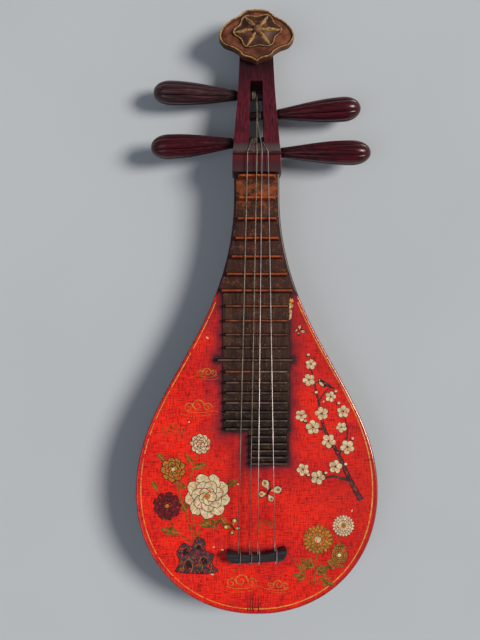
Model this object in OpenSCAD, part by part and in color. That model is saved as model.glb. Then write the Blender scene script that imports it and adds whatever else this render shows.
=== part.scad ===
// Small four-string pipa: a carved back with a solid neck, an inlaid soundboard and fingerboard,
// a tilted pegbox with four friction pegs, and a carved head plaque.
// It lies on its back: +Y runs from the tail to the head, and +Z points out of the soundboard.

/* [Body] */
// Widest width of the body, over the edge binding
body_w = 246; // [220:1:280]
// Tail end to the widest point
belly_y = 125; // [105:1:145]
// Roundness of the tail outline, where 2 is an ellipse
tail_power = 2.1; // [1.8:0.05:2.6]
// Pull of the belly on the shoulder curve
belly_pull = 103; // [80:1:130]
// Depth of the carved back below the soundboard
back_depth = 41.5; // [36:0.5:50]
// Height of the upright side band under the soundboard
side_band = 5; // [3:0.5:8]
// Thickness of the carved back's floor
floor_t = 6; // [4:0.5:9]
// Width of the ledge that carries the binding and the soundboard
ledge_w = 9; // [7:0.5:14]
// Depth of the flat that is planed on the arched back
flat_cut = 1.2; // [0.6:0.1:2]
// Width of the edge binding
binding_w = 2.2; // [1.5:0.1:3.5]
// Thickness of the soundboard, the fingerboard and the binding
board_t = 4.5; // [3:0.5:6]
// Radius of the sound hole that the bridge covers
sound_hole_r = 3; // [2:0.5:4]

/* [Neck] */
// Tail end to the joint between the neck and the pegbox
neck_end = 447.5; // [430:0.5:470]
// Width of the neck at the pegbox
neck_w = 46; // [42:0.5:50]
// Depth of the neck under the fingerboard, at the pegbox
neck_depth = 20; // [16:0.5:25]
// Tail end to the point where the neck sides become straight
neck_straight_y = 426; // [415:1:435]
// Pull of the neck on the shoulder curve
neck_pull = 141; // [120:1:160]
// Length, width and height of the tenon that joins the pegbox to the neck
tenon = [18, 16, 10]; // [6:1:24]

/* [Head] */
// Backward tilt of the pegbox and head, in degrees
head_tilt = 7; // [4:0.5:8]
// Length of the pegbox
pegbox_len = 160; // [148:1:168]
// Width of the pegbox at the nut
pegbox_w = 49.6; // [47:0.2:54]
// Width of the pegbox under the head plaque
pegbox_top_w = 33.5; // [30:0.5:38]
// Length of the curved back at the top of the pegbox
pegbox_round = 16; // [8:1:24]
// Depth of the flat on the pegbox's back that the head rests on
rest_cut = 0.6; // [0.3:0.1:1.2]
// Lower and upper end of the string slot, along the pegbox
slot_y = [15, 99]; // [10:1:110]
// Width of the string slot at its lower and upper end
slot_w = [16, 12.6]; // [11:0.2:18]
// Width of the head plaque
plaque_w = 77; // [66:1:90]
// Height of the head plaque
plaque_h = 57; // [48:1:66]
// Thickness of the head plaque's field
plaque_t = 8; // [6:0.5:11]
// Middle of the head plaque from the top of the pegbox
plaque_inset = 16; // [10:0.5:22]
// Height and width of the raised border on the head plaque
border = [1.8, 2.4]; // [1:0.1:4]
// Side and end margin between the star medallion and the raised border
medallion_gap = [10.6, 6.6]; // [5:0.1:14]
// Middle of the star medallion from the middle of the plaque
medallion_at = [1, 4.4]; // [0:0.1:5]
// Turn of the medallion on the plaque, in degrees
medallion_turn = 3.5; // [0:0.5:5]
// Height of the star medallion's rim above the plaque
medallion_t = 2.2; // [1.5:0.1:3.5]
// Height and width of the medallion's rim
medallion_rim = [0.9, 1.5]; // [0.5:0.1:2.5]
// Rise of the medallion's middle above the foot of its rim
medallion_rise = 3; // [1:0.1:4]
// Height of the medallion's rays above its middle
ray_h = 2.2; // [0.8:0.1:3]
// Radius of the medallion's centre knob
knob_r = 5; // [3:0.1:6]
// Radius of the dowels that hold the head plaque
dowel_r = 2; // [1.5:0.1:2.5]
// Length of the dowels
dowel_len = 13; // [9:0.5:15]
// Distance between the dowels
dowel_gap = 20; // [12:1:24]

/* [Nut] */
// Length of the nut block along the pegbox
nut_len = 32.8; // [29:0.1:35]
// Height of the string ridge on the nut
nut_h = 12; // [9:0.5:15]
// Gap between the nut and the foot of the first fret
nut_gap = 0.4; // [0.2:0.1:1]
// Thickness of the string ridge at its crest
nut_ridge_t = 1.8; // [1.2:0.1:3]
// Height of the nut's block at its neck end and against the ridge
nut_step_h = [7.5, 9.2]; // [4:0.1:10]

/* [Pegs] */
// Peg places along the pegbox: upper left, upper right, lower left, lower right
peg_y = [87, 65.6, 37.9, 26.2]; // [20:0.1:95]
// Rise of each handle from square to the pegbox, in degrees
peg_rise = [2.4, 4.7, -3.4, 0]; // [-6:0.1:6]
// Handle lengths
handle_len = [87, 87, 85, 93]; // [75:1:100]
// Depth of the peg axes below the front of the pegbox
peg_depth = 12.2; // [10:0.1:15]
// Radius of the peg shaft in the slot and the near cheek
shaft_r = 4.6; // [4:0.1:5]
// Radius of the peg shaft in the far cheek
shaft_end_r = 3.8; // [3:0.1:4]
// Depth of the far end of the shaft in its blind hole
shaft_seat = 7; // [4:0.5:8]
// Radius of the handle at the cheek
handle_neck_r = 5.3; // [5.1:0.1:7]
// Largest radius of the handle
handle_r = 12.8; // [11:0.1:14]
// Distance between the handle and the cheek
handle_gap = 1.3; // [1.2:0.1:2]
// Lobes round the handle
handle_lobes = 6; // [5:1:8]
// Depth of the grooves between the lobes
groove_depth = 1.5; // [0.5:0.1:2.5]
// Radial clearance of the pegs in their holes
peg_clear = 0.05; // [0.02:0.01:0.1]

/* [Frets] */
// String length that the fret spacing follows
string_len = 419; // [400:1:435]
// Frets on the neck
neck_frets = 7; // [6:1:7]
// Long frets on the soundboard
long_frets = 12; // [10:1:12]
// Short frets on the soundboard
short_frets = 5; // [3:1:5]
// Fret that is wider than its neighbours
octave_fret = 12; // [10:1:14]
// Left and right end of the long frets
long_x = [-33, 32]; // [-36:0.5:36]
// Left and right end of the short frets
short_x = [-7, 31]; // [-12:0.5:36]
// Left and right end of the octave fret
octave_x = [-41, 37]; // [-44:0.5:44]
// Thickness of a neck fret at its foot and crest
neck_fret_t = [5, 2]; // [1:0.1:6]
// Thickness of a soundboard fret at its foot and crest
fret_t = [3.4, 1.6]; // [1:0.1:4]
// Slope of the fret ends, measured along the fret
fret_end_slope = 1.6; // [0:0.1:3]
// Thickness of the fret plate on the soundboard
fret_plate_t = 0.8; // [0.5:0.1:1.5]
// Margin of the fret plate round the frets
fret_plate_edge = 1; // [0.5:0.1:2]
// Gap between strings and frets at the nut and at the bridge
action = [0.7, 2]; // [0.4:0.1:3]

/* [Bridge] */
// Tail end to the middle of the bridge
bridge_y = 61; // [50:0.5:75]
// Width of the bridge across the strings
bridge_w = 61; // [54:1:70]
// Length of the bridge's foot and of its top along the strings
bridge_l = [15, 9]; // [7:0.5:20]
// Height of the bridge
bridge_h = 11; // [10:0.5:14]
// Turn of the bridge on the soundboard, in degrees
bridge_turn = 3; // [0:0.5:5]
// Height of the string holes above the soundboard
hole_z = 8; // [6:0.5:9]
// Radius of the string holes
hole_r = 1; // [0.8:0.1:1.3]

/* [Strings] */
// String diameters, from the left
string_d = [1, 0.9, 0.8, 0.8]; // [0.5:0.1:1]
// Places of the strings across the nut ridge
nut_x = [-9.3, 0, 5.1, 11.2]; // [-14:0.1:14]
// Places of the strings where they enter the slot
mouth_x = [-5.6, 0, 4.6, 6]; // [-6.5:0.1:6.5]
// Places of the strings across the bridge
bridge_x = [-18.5, -7, 1.2, 18.5]; // [-22:0.1:22]
// Turns of each string round its peg
turns = 3; // [2:1:4]
// Gap between the turns
turn_gap = 0.5; // [0.45:0.05:0.8]

/* [Inside] */
// Distances from the tail end to the two soundboard bars
bar_y = [100, 215]; // [90:1:230]
// Thickness and height of the soundboard bars
bar = [7, 11]; // [5:0.5:14]
// Place of the sound post, from the middle line and from the tail end
post_at = [20, 84]; // [0:1:95]
// Radius of the sound post
post_r = 4; // [3:0.5:5]

/* [Hidden] */
glue = 0.05;          // gap of a glued seam
string_clear = 0.1;   // gap between a string and what it passes over
tenon_clear = 0.15;   // gap round the tenon in its mortise
tenon_root = 4;       // stretch of the tenon inside the pegbox
tenon_cover = 4;      // neck wood above the tenon
neck_block = 12;      // solid wood between the hollow and the ledge under the neck
neck_even = 40;       // stretch of the neck, below the pegbox, that keeps one depth
cheek_bend = [45, 68];  // pegbox cheeks: end of their wide part, start of their slim part
cheek_flare = 0.8;    // swelling of the slim part
ridge_lean = 0.6;     // lean of the string ridge's wall on the neck's side
past = 1;             // how far a cutter passes the face that it cuts
tail_steps = 12;
side_steps = 17;
section_steps = 14;
ring_sides = 36;
handle_steps = 15;
handle_full = 0.78;   // share of the handle's length where it is thickest
lobe_start = 0.18;    // share of the handle's length where the grooves reach their full depth
tip_share = 0.985;    // share of the handle's length where the tip is closed
string_sides = 8;
wound_sides = 6;
wound_rings = 24;
$fn = 48;

rim_z = back_depth;
board_z = rim_z + board_t;
pegbox_d = neck_depth + board_t;
plaque_y = pegbox_len - plaque_inset;
fret_count = neck_frets + long_frets + short_frets;
wide_r = max(string_d) / 2;
PEGS = ["upper_left", "upper_right", "lower_left", "lower_right"];
STRING_PEG = [2, 0, 1, 3];      // peg that each string goes to, counted in PEGS
SHAFT_X = [-6, 0.7, -0.2, 6];   // place of each string across its shaft
WIND_TO = [1, -1, 1, -1];       // way that each winding runs along its shaft
peg_side = [-1, 1, -1, 1];

// Curves and frames

function bezier(p, t) = pow(1 - t, 3) * p[0] + 3 * pow(1 - t, 2) * t * p[1]
    + 3 * (1 - t) * t * t * p[2] + pow(t, 3) * p[3];
function ease(t) = (1 + cos(180 * max(0, min(1, t)))) / 2;
function unit(v) = v / norm(v);
function signed_pow(v, e) = sign(v) * pow(abs(v), e);
function mirrored(pts) = [for (i = [len(pts) - 1:-1:0]) [-pts[i][0], pts[i][1]]];
function fret_name(n) = str(n <= neck_frets ? "neck_fret_" : "board_fret_", n);

// A smooth curve through a list of points, with the given steps between neighbours
function through(p, steps) = concat([for (i = [0:len(p) - 2], k = [0:steps - 1])
    let (t = k / steps, a = p[max(i - 1, 0)], b = p[i], c = p[i + 1], d = p[min(i + 2, len(p) - 1)])
    0.5 * (2 * b + (c - a) * t + (2 * a - 5 * b + 4 * c - d) * t * t
        + (3 * b - a - 3 * c + d) * t * t * t)], [p[len(p) - 1]]);

// A point of the tilted head, in the frame of the body
function head_point(p) = [p[0], neck_end + p[1] * cos(head_tilt) + p[2] * sin(head_tilt),
    board_z - p[1] * sin(head_tilt) + p[2] * cos(head_tilt)];
module in_head() translate([0, neck_end, board_z]) rotate([-head_tilt, 0, 0]) children();

overall_len = head_point([0, plaque_y + plaque_h / 2, plaque_t + border[0]])[1];
module in_frame() translate([0, -overall_len / 2, 0]) children();

// Lines that several pieces share: the string ridge, the joint under the last neck fret, the bridge's front
ridge_lift = 1.35 * (wide_r + string_clear);    // string centre above the ridge
first_step = string_len * (1 - pow(2, -1 / 12));    // from the ridge to the first fret
nut_ridge_y = (first_step - neck_fret_t[0] / 2 - nut_gap - (nut_h + ridge_lift) * sin(head_tilt))
    / cos(head_tilt);
ridge_point = head_point([0, nut_ridge_y, nut_h + ridge_lift]);
joint_y = fret_y(neck_frets) - neck_fret_t[0] / 2 - glue;
string_end_y = bridge_y + bridge_l[0] / 2;

// Body outline, as half widths along the length

shoulder = [[body_w / 2, belly_y], [body_w / 2, belly_y + belly_pull],
    [neck_w / 2, neck_straight_y - neck_pull], [neck_w / 2, neck_straight_y]];
right_side = concat(
    [for (i = [0:tail_steps]) let (a = 90 * i / tail_steps)
        [body_w / 2 * pow(sin(a), 2 / tail_power), belly_y * (1 - pow(cos(a), 2 / tail_power))]],
    [for (i = [1:side_steps]) bezier(shoulder, i / side_steps)],
    [[neck_w / 2, neck_end]]);
width_table = [for (p = right_side) [p[1], p[0]]];
function half_width(y) = lookup(y, width_table);

// The outline moved inwards along its own normals
function inset_side(d) = [for (i = [0:len(right_side) - 1])
    let (a = right_side[max(i - 1, 0)], b = right_side[min(i + 1, len(right_side) - 1)])
    let (ahead = i == 0 ? [1, 0] : i == len(right_side) - 1 ? [0, 1] : unit(b - a))
    right_side[i] + d * [-ahead[1], ahead[0]]];
// The stretch of a side between two places along the length, cut square
function stretch(side, y0, y1) = let (t = [for (p = side) [p[1], p[0]]])
    concat([[lookup(y0, t), y0]], [for (p = side) if (p[1] > y0 && p[1] < y1) p], [[lookup(y1, t), y1]]);
function both_sides(side) = concat(side, mirrored(side));

// Carved back: one section at each place along the length

full_depth = back_depth + flat_cut;
cavity_depth = back_depth - floor_t;
cavity_end = joint_y - ledge_w - neck_block;
blend_y = neck_end - neck_even;
arch_power = 2.5;
cavity_over = 3;      // the cavity's curve runs this far below its flat floor
function dome(t) = pow(max(0, 1 - pow(abs(t), arch_power)), 1 / arch_power);
function outer_depth(y) = y <= belly_y
    ? side_band + (full_depth - side_band) * dome(1 - y / belly_y)
    : neck_depth + (full_depth - neck_depth) * ease((y - belly_y) / (blend_y - belly_y));
function hollow_share(y) = y <= belly_y ? dome(min(1, (belly_y - y) / (belly_y - ledge_w)))
    : dome(min(1, (y - belly_y) / (cavity_end - belly_y)));
function hollow_half(y) = y <= belly_y
    ? max((body_w / 2 - ledge_w) * hollow_share(y), half_width(max(y, past)) / 3)
    : half_width(y) - 1.1 * ledge_w;
function section(y, w) = concat(
    [[w, y, rim_z]],
    [for (k = [0:section_steps]) let (a = 180 * k / section_steps)
        [w * signed_pow(cos(a), 2 / arch_power), y,
         max(0, rim_z - side_band - (outer_depth(y) - side_band) * pow(sin(a), 2 / arch_power))]],
    [[-w, y, rim_z]],
    [for (k = [section_steps:-1:0]) let (a = 180 * k / section_steps)
        [hollow_half(y) * signed_pow(cos(a), 2 / arch_power), y,
         rim_z - min(cavity_depth, (cavity_depth + cavity_over) * hollow_share(y)
            * pow(sin(a), 2 / arch_power))]]);
stations = [for (i = [0:len(right_side) - 1]) [max(right_side[i][0], half_width(past)), right_side[i][1]]];

// Triangles that join rings of equal size into a closed skin
function wall_faces(rings, sides) = [for (i = [0:rings - 2], k = [0:sides - 1])
    let (a = i * sides + k, b = i * sides + (k + 1) % sides)
    each [[a, a + sides, b], [b, a + sides, b + sides]]];
// One end of a skin, closed by the given triangles of its ring
function end_faces(first, triangles) = [for (t = triangles) [for (k = t) first + k]];
function turned(triangles) = [for (t = triangles) [t[2], t[1], t[0]]];
function fan(sides) = [for (k = [1:sides - 2]) [0, k, k + 1]];
module skin(rings, ends) {
    sides = len(rings[0]);
    polyhedron([for (r = rings) each r], concat(end_faces(0, ends), wall_faces(len(rings), sides),
        end_faces((len(rings) - 1) * sides, turned(ends))));
}
module tube(rings) skin(rings, fan(len(rings[0])));

// Triangles across one section, from its outer curve to its hollow
last_step = section_steps + 1;
section_end = concat([[0, 1, 2 * last_step + 1], [last_step, last_step + 1, last_step + 2]],
    [for (k = [1:section_steps]) let (in = 2 * last_step + 1 - k)
        each [[k, k + 1, in], [k, in, in + 1]]]);
module back_shell() color("#4a1c1c") difference() {
    skin([for (s = stations) section(s[1], s[0])], section_end);
    mortise();
}
module tenon_block(clear, root) translate([-tenon[1] / 2 - clear, neck_end - tenon[0] - clear,
    rim_z - tenon_cover - tenon[2] - clear])
    cube([tenon[1] + 2 * clear, tenon[0] + clear + root, tenon[2] + 2 * clear]);
module mortise() tenon_block(tenon_clear, past);

module plate(side, z, t) translate([0, 0, z]) linear_extrude(t) polygon(both_sides(side));
module edge_binding() color("#5a2418") difference() {
    plate(right_side, rim_z, board_t);
    translate([0, 0, rim_z - past]) linear_extrude(board_t + 2 * past)
        polygon(concat(inset_side(binding_w), [[neck_w / 2 - binding_w, neck_end + past]],
            [[binding_w - neck_w / 2, neck_end + past]], mirrored(inset_side(binding_w))));
}
module soundboard() color("#c8201a") difference() {
    plate(stretch(inset_side(binding_w + glue), binding_w + glue, joint_y), rim_z, board_t);
    translate([0, bridge_y, rim_z - past]) cylinder(r = sound_hole_r, h = board_t + 2 * past);
}
module fingerboard() color("#6b3a1e")
    plate(stretch(inset_side(binding_w + glue), joint_y + glue, neck_end - glue), rim_z, board_t);

// Inside: two bars under the soundboard and a post between soundboard and back

bar_end_h = 0.4;      // share of the bar's height left at its scalloped ends
bar_reach = 0.84;     // share of the hollow that the bar spans
bar_scallop = 26;
module sound_bar(y) color("#c9a66b") translate([0, y + bar[0] / 2, rim_z]) rotate([90, 0, 0])
    linear_extrude(bar[0]) {
        half = bar_reach * hollow_half(y);
        polygon([[half, 0], [half, -bar_end_h * bar[1]], [half - bar_scallop, -bar[1]],
            [bar_scallop - half, -bar[1]], [-half, -bar_end_h * bar[1]], [-half, 0]]);
    }
module sound_post() color("#c9a66b") translate([post_at[0], post_at[1], rim_z - cavity_depth])
    cylinder(r = post_r, h = cavity_depth);

// Head: pegbox, nut, plaque and medallion, in the tilted frame

cheek = [[pegbox_w / 2, 0], [pegbox_w / 2, cheek_bend[0]], [pegbox_top_w / 2 + cheek_flare, cheek_bend[1]],
    [pegbox_top_w / 2, pegbox_len]];
cheek_steps = 16;
cheek_side = concat([[pegbox_w / 2, -pegbox_d]], [for (i = [0:cheek_steps]) bezier(cheek, i / cheek_steps)]);
cheek_table = [for (p = cheek_side) [p[1], p[0]]];
function cheek_half(y) = lookup(y, cheek_table);
function slot_half(y) = (slot_w[0] + (slot_w[1] - slot_w[0]) * (y - slot_y[0]) / (slot_y[1] - slot_y[0])) / 2;
back_steps = 10;
// The back deepens to the plane that the body lies on, so that the head rests there too
rest_y = pegbox_len - pegbox_round;
rest_d = (board_z - rest_y * sin(head_tilt)) / cos(head_tilt) + rest_cut;
deep = max(pegbox_d, rest_d) + past;
pegbox_profile = concat([[-pegbox_d, 0]],
    [for (i = [0:back_steps]) let (a = 90 * i / back_steps)
        [pegbox_len - pegbox_round * (1 - cos(a)), -rest_d * sin(a)]],
    [[0, -pegbox_d], [-pegbox_d, -pegbox_d]]);

// Extrudes a side view, given along the head and out of its front, across the whole width
module across(profile) translate([-pegbox_w, 0, 0]) rotate([90, 0, 90])
    linear_extrude(2 * pegbox_w) polygon(profile);
module front_view(low, high) translate([0, 0, low]) linear_extrude(high - low)
    polygon(both_sides(cheek_side));
// Puts a part made along +X on the axis of a peg
module on_peg(i) in_head() translate([0, peg_y[i], -peg_depth])
    rotate([0, 0, peg_side[i] > 0 ? peg_rise[i] : 180 - peg_rise[i]]) children();
module along_x(r, x0, x1) translate([x0, 0, 0]) rotate([0, 90, 0]) cylinder(r = r, h = x1 - x0);
dowel_y = [plaque_y - dowel_gap / 2, plaque_y + dowel_gap / 2];
module dowels(clear) for (y = dowel_y) translate([0, y, -dowel_len / 2 - clear])
    cylinder(r = dowel_r + clear, h = dowel_len + 2 * clear);

module pegbox() color("#4e1420") difference() {
    union() {
        difference() {
            in_head() intersection() {
                across(pegbox_profile);
                front_view(-deep, past);
            }
            translate([-pegbox_w, neck_end - 3 * pegbox_d, -pegbox_d])
                cube([2 * pegbox_w, 3 * pegbox_d, board_z + 2 * pegbox_d]);
            translate([-pegbox_w, neck_end, -deep]) cube([2 * pegbox_w, 2 * pegbox_len, deep]);
        }
        tenon_block(0, tenon_root);
    }
    in_head() translate([0, 0, -deep]) linear_extrude(deep + past)
        polygon([[slot_half(slot_y[0]), slot_y[0]], [slot_half(slot_y[1]), slot_y[1]],
            [-slot_half(slot_y[1]), slot_y[1]], [-slot_half(slot_y[0]), slot_y[0]]]);
    for (i = [0:3]) on_peg(i) {
        along_x(shaft_r + peg_clear, 0, pegbox_w);
        along_x(shaft_end_r + peg_clear, -slot_half(peg_y[i]) - shaft_seat - past, 0);
    }
    in_head() dowels(glue);
}
module nut() color("#5a1a24") in_head() intersection() {
    across([[0, 0], [nut_len, 0], [nut_ridge_y, nut_h], [nut_ridge_y - nut_ridge_t, nut_h],
        [nut_ridge_y - nut_ridge_t - ridge_lean, nut_step_h[1]], [0, nut_step_h[0]]]);
    front_view(0, nut_h + past);
}

// Half outline of the plaque from its top to its tip, in shares of its half width and half height
plaque_half = [[0, 1], [0.3, 0.94], [0.5, 0.73], [0.73, 0.55], [0.94, 0.25], [1, -0.06], [0.88, -0.34],
    [0.64, -0.48], [0.47, -0.63], [0.36, -0.79], [0.14, -0.88], [0, -1]];
plaque_steps = 4;
function plaque_points(grow) = let (h = [for (p = through(plaque_half, plaque_steps))
    [p[0] * (plaque_w / 2 + grow), p[1] * (plaque_h / 2 + grow)]])
    concat(h, [for (i = [len(h) - 2:-1:1]) [-h[i][0], h[i][1]]]);
module head_plaque() color("#7a4a26") in_head() difference() {
    translate([0, plaque_y, 0]) linear_extrude(plaque_t + border[0]) polygon(plaque_points(0));
    translate([0, plaque_y, plaque_t]) linear_extrude(border[0] + past) polygon(plaque_points(-border[1]));
    dowels(glue);
}
module plaque_dowels() color("#c9a66b") in_head() dowels(0);

petals = 6;
petal_swell = 0.1;
petal_points = 60;
rise_top = 0.26;      // share of the medallion's reach where its middle is level
ray_inner = 0.2;      // share where the rays start
ray_middle = 0.52;    // share where they are widest
ray_outer = 0.92;     // share where they end
ray_half = [2.2, 3];    // half width of a ray at its start and at its widest
ray_tip_h = 0.5;      // height of a ray's tip above the foot of the rim
medallion = [plaque_w / 2, plaque_h / 2] - [border[1], border[1]] - medallion_gap;
rim_share = 1 - medallion_rim[1] / medallion[1];
function petal_point(a, share) = share * (1 + petal_swell * cos(petals * a)) / (1 + petal_swell)
    * [medallion[0] * cos(a), medallion[1] * sin(a)];
module petal_plate(share, h, taper) linear_extrude(h, scale = taper)
    polygon([for (k = [0:petal_points - 1]) petal_point(360 * k / petal_points, share)]);
// A ray that is widest and high near the knob and runs out to a low tip
module ray(a) let (tip = petal_point(a, 1), side = [-unit(tip)[1], unit(tip)[0]])
    let (top = medallion_rise + ray_h) polyhedron(
        [for (p = [[ray_inner, ray_half[0], 0], [ray_inner, -ray_half[0], 0], [ray_middle, -ray_half[1], 0],
            [ray_outer, 0, 0], [ray_middle, ray_half[1], 0], [ray_inner, 0, top],
            [ray_middle, 0, top - ray_h / 2], [ray_outer, 0, ray_tip_h]])
            [each p[0] * tip + p[1] * side, p[2]]],
        [[0, 1, 4], [1, 2, 4], [2, 3, 4], [0, 5, 1], [1, 6, 2], [1, 5, 6], [2, 7, 3], [2, 6, 7],
         [3, 7, 4], [4, 7, 6], [4, 6, 0], [0, 6, 5]]);
module star_medallion() color("#8a6a3a") in_head() translate([medallion_at[0], plaque_y + medallion_at[1],
    plaque_t]) rotate([0, 0, medallion_turn]) {
    foot = medallion_t - medallion_rim[0];
    difference() {
        petal_plate(1, medallion_t, 1);
        translate([0, 0, foot]) petal_plate(rim_share, medallion_t, 1);
    }
    translate([0, 0, foot - glue]) {
        petal_plate(rim_share - glue, medallion_rise, rise_top);
        for (k = [0:petals - 1]) ray(360 * k / petals);
        translate([0, 0, medallion_rise]) scale([1, 1, 0.9]) intersection() {
            sphere(r = knob_r);
            translate([0, 0, -past]) cylinder(r = 2 * knob_r, h = 2 * knob_r);
        }
    }
}

// Pegs: a true round shaft and a lobed handle

function handle_profile(t) = t <= handle_full
    ? handle_neck_r + (handle_r - handle_neck_r) * pow(sin(90 * t / handle_full), 1.2)
    : handle_r * sqrt(1 - pow((t - handle_full) / (1 - handle_full), 2.2));
function groove(t, a) = groove_depth * min(1, t / lobe_start) * handle_profile(t) / handle_r
    * (1 - sqrt(abs(sin(handle_lobes * a / 2))));
function handle_ring(x, l, t) = [for (k = [0:ring_sides - 1]) let (a = 360 * k / ring_sides)
    let (r = handle_profile(t) - groove(t, a)) [x + l * t, r * cos(a), r * sin(a)]];
function handle_x(i) = cheek_half(peg_y[i]) + handle_gap;
module peg(i) color("#571622") on_peg(i) {
    step_x = 0.6 - slot_half(peg_y[i]);
    along_x(shaft_end_r, -slot_half(peg_y[i]) - shaft_seat, step_x + past);
    along_x(shaft_r, step_x, handle_x(i) + 2 * past);
    tube([for (k = [0:handle_steps]) handle_ring(handle_x(i), handle_len[i], tip_share * k / handle_steps)]);
}

// Frets, spaced by the semitone rule from the nut ridge

function fret_y(n) = ridge_point[1] - string_len * (1 - pow(2, -n / 12));
function run_share(y) = (ridge_point[1] - y) / (ridge_point[1] - string_end_y);
function string_z(y) = ridge_point[2] + (board_z + hole_z - ridge_point[2]) * run_share(y);
function fret_top(y) = string_z(y) - wide_r - action[0] - (action[1] - action[0]) * run_share(y);
function fret_span(n) = n <= neck_frets
    ? (half_width(fret_y(n)) - binding_w - fret_end_slope) * [-1, 1]
    : n == octave_fret ? octave_x
    : n <= neck_frets + long_frets ? long_x : short_x;
function last_long() = neck_frets + long_frets;
function bar_corners(x, t, slope, z) = [[x[0] + slope, -t / 2, z], [x[1] - slope, -t / 2, z],
    [x[1] - slope, t / 2, z], [x[0] + slope, t / 2, z]];
module fret(n) color("#8a5a2a") {
    y = fret_y(n);
    on_neck = n <= neck_frets;
    t = on_neck ? neck_fret_t : fret_t;
    foot_z = board_z + (on_neck ? 0 : fret_plate_t);
    translate([0, y, 0]) tube([bar_corners(fret_span(n), t[0], 0, foot_z),
        bar_corners(fret_span(n), t[1], fret_end_slope, fret_top(y))]);
}
module fret_seat(x, y0, y1) translate([x[0] - fret_plate_edge, y0, board_z])
    cube([x[1] - x[0] + 2 * fret_plate_edge, y1 - y0, fret_plate_t]);
module fret_plate() color("#241812") {
    foot = fret_t[0] / 2 + fret_plate_edge;
    step_y = fret_y(last_long()) - foot;
    fret_seat(long_x, step_y, joint_y - glue);
    fret_seat(short_x, fret_y(fret_count) - foot, step_y + past);
    fret_seat(octave_x, fret_y(octave_fret) - foot, fret_y(octave_fret) + foot);
}

// Bridge: a waisted bar with upturned ends, with one hole for each string

bridge_half = [[0, 0.3], [0.4, 0.36], [0.75, 0.7], [0.93, 0.95], [1, 0.5], [0.94, -0.1], [0.78, -0.75],
    [0.45, -0.95], [0, -0.95]];
bridge_steps = 4;
function bridge_outline() = let (h = [for (p = through(bridge_half, bridge_steps))
    [p[0] * bridge_w / 2, p[1] * bridge_l[0] / 2]])
    concat(h, [for (i = [len(h) - 2:-1:1]) [-h[i][0], h[i][1]]]);
module at_bridge() translate([0, bridge_y, board_z]) rotate([0, 0, bridge_turn]) children();
module bridge() color("#2b2a2c") at_bridge() difference() {
    intersection() {
        linear_extrude(bridge_h) polygon(bridge_outline());
        translate([-bridge_w, 0, 0]) rotate([90, 0, 90]) linear_extrude(2 * bridge_w)
            polygon([[-bridge_l[0] / 2, 0], [bridge_l[0] / 2, 0], [bridge_l[0] / 2, bridge_h / 3],
                [bridge_l[1] / 2, bridge_h], [-bridge_l[1] / 2, bridge_h], [-bridge_l[0] / 2, bridge_h / 3]]);
    }
    for (x = bridge_x) translate([x, bridge_l[0], hole_z]) rotate([90, 0, 0])
        cylinder(r = hole_r, h = 2 * bridge_l[0]);
}

// Strings: one tube each, from the peg over the nut to the loop round the bridge

function ring_about(p, ahead, r, sides) = let (u = unit(cross(ahead, [1, 0, 0])), v = unit(cross(ahead, u)))
    [for (k = [0:sides - 1]) let (a = 360 * k / sides) p + r * (cos(a) * u + sin(a) * v)];
function tube_rings(p, r, sides) = [for (i = [0:len(p) - 1])
    ring_about(p[i], unit(p[min(i + 1, len(p) - 1)] - p[max(i - 1, 0)]), r, sides)];
// Where a line from a point passes over a circle and touches it, in the plane across the pegs
function touch(from, middle, r) = let (d = from - middle, turn = -acos(r / norm(d)))
    middle + r * unit([d[0] * cos(turn) - d[1] * sin(turn), d[0] * sin(turn) + d[1] * cos(turn)]);
function axis_y(i, x) = peg_y[i] + peg_side[i] * x * tan(peg_rise[i]);
function wind_r(s) = shaft_r + string_d[s] / 2 + string_clear;
foot_turn = [1.25, 0.4];    // way round the nut's lower edge, in shares of the string's clear radius

string_apart = 0.35;  // gap between a string's end and the shaft that it winds on
function peg_end(s) = let (i = STRING_PEG[s], r = shaft_r + string_d[s] / 2 + string_apart)
    let (t = touch(foot_point(s), [axis_y(i, SHAFT_X[s]), -peg_depth], r))
    [SHAFT_X[s], t[0], t[1]];
function foot_point(s) = [nut_len, 0] + foot_turn * (string_d[s] / 2 + string_clear);
function bridge_point(p) = [p[0] * cos(bridge_turn) - p[1] * sin(bridge_turn),
    bridge_y + p[0] * sin(bridge_turn) + p[1] * cos(bridge_turn), board_z + p[2]];
// Loop of a string round the bridge: through its hole, up the back and over the top to the front
function tie(s) = let (x = bridge_x[s], back = bridge_l[0] / 2, top = bridge_l[1] / 2)
    let (r = string_d[s] / 2 + string_clear, side = 2 * string_d[s], high = bridge_h + r)
    [[x, back + 1, hole_z], [x, 0, hole_z], [x, -back, hole_z], [x + 0.2 * side, -back - 0.8, hole_z + 0.6],
     [x + 0.4 * side, -back - 0.4, hole_z + 1.8], [x + 0.6 * side, -top - 0.8, high],
     [x + 0.7 * side, -top + 0.4, high + 0.2], [x + side, top - 0.4, high + 0.2],
     [x + side, top + 0.8, high], [x + side, back + 0.4, hole_z + 1]];
function string_route(s) = let (end = peg_end(s), foot = foot_point(s))
    concat([for (p = [end, [mouth_x[s], foot[0], foot[1]],
        [nut_x[s], nut_ridge_y, nut_h + 1.35 * (string_d[s] / 2 + string_clear)]]) head_point(p)],
        [for (p = tie(s)) bridge_point(p)]);
module string(s) color(s < 2 ? "#b9a07a" : "#e6e4de")
    tube(tube_rings(string_route(s), string_d[s] / 2, string_sides));

// Windings: each string's turns round its shaft, as one helix

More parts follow.
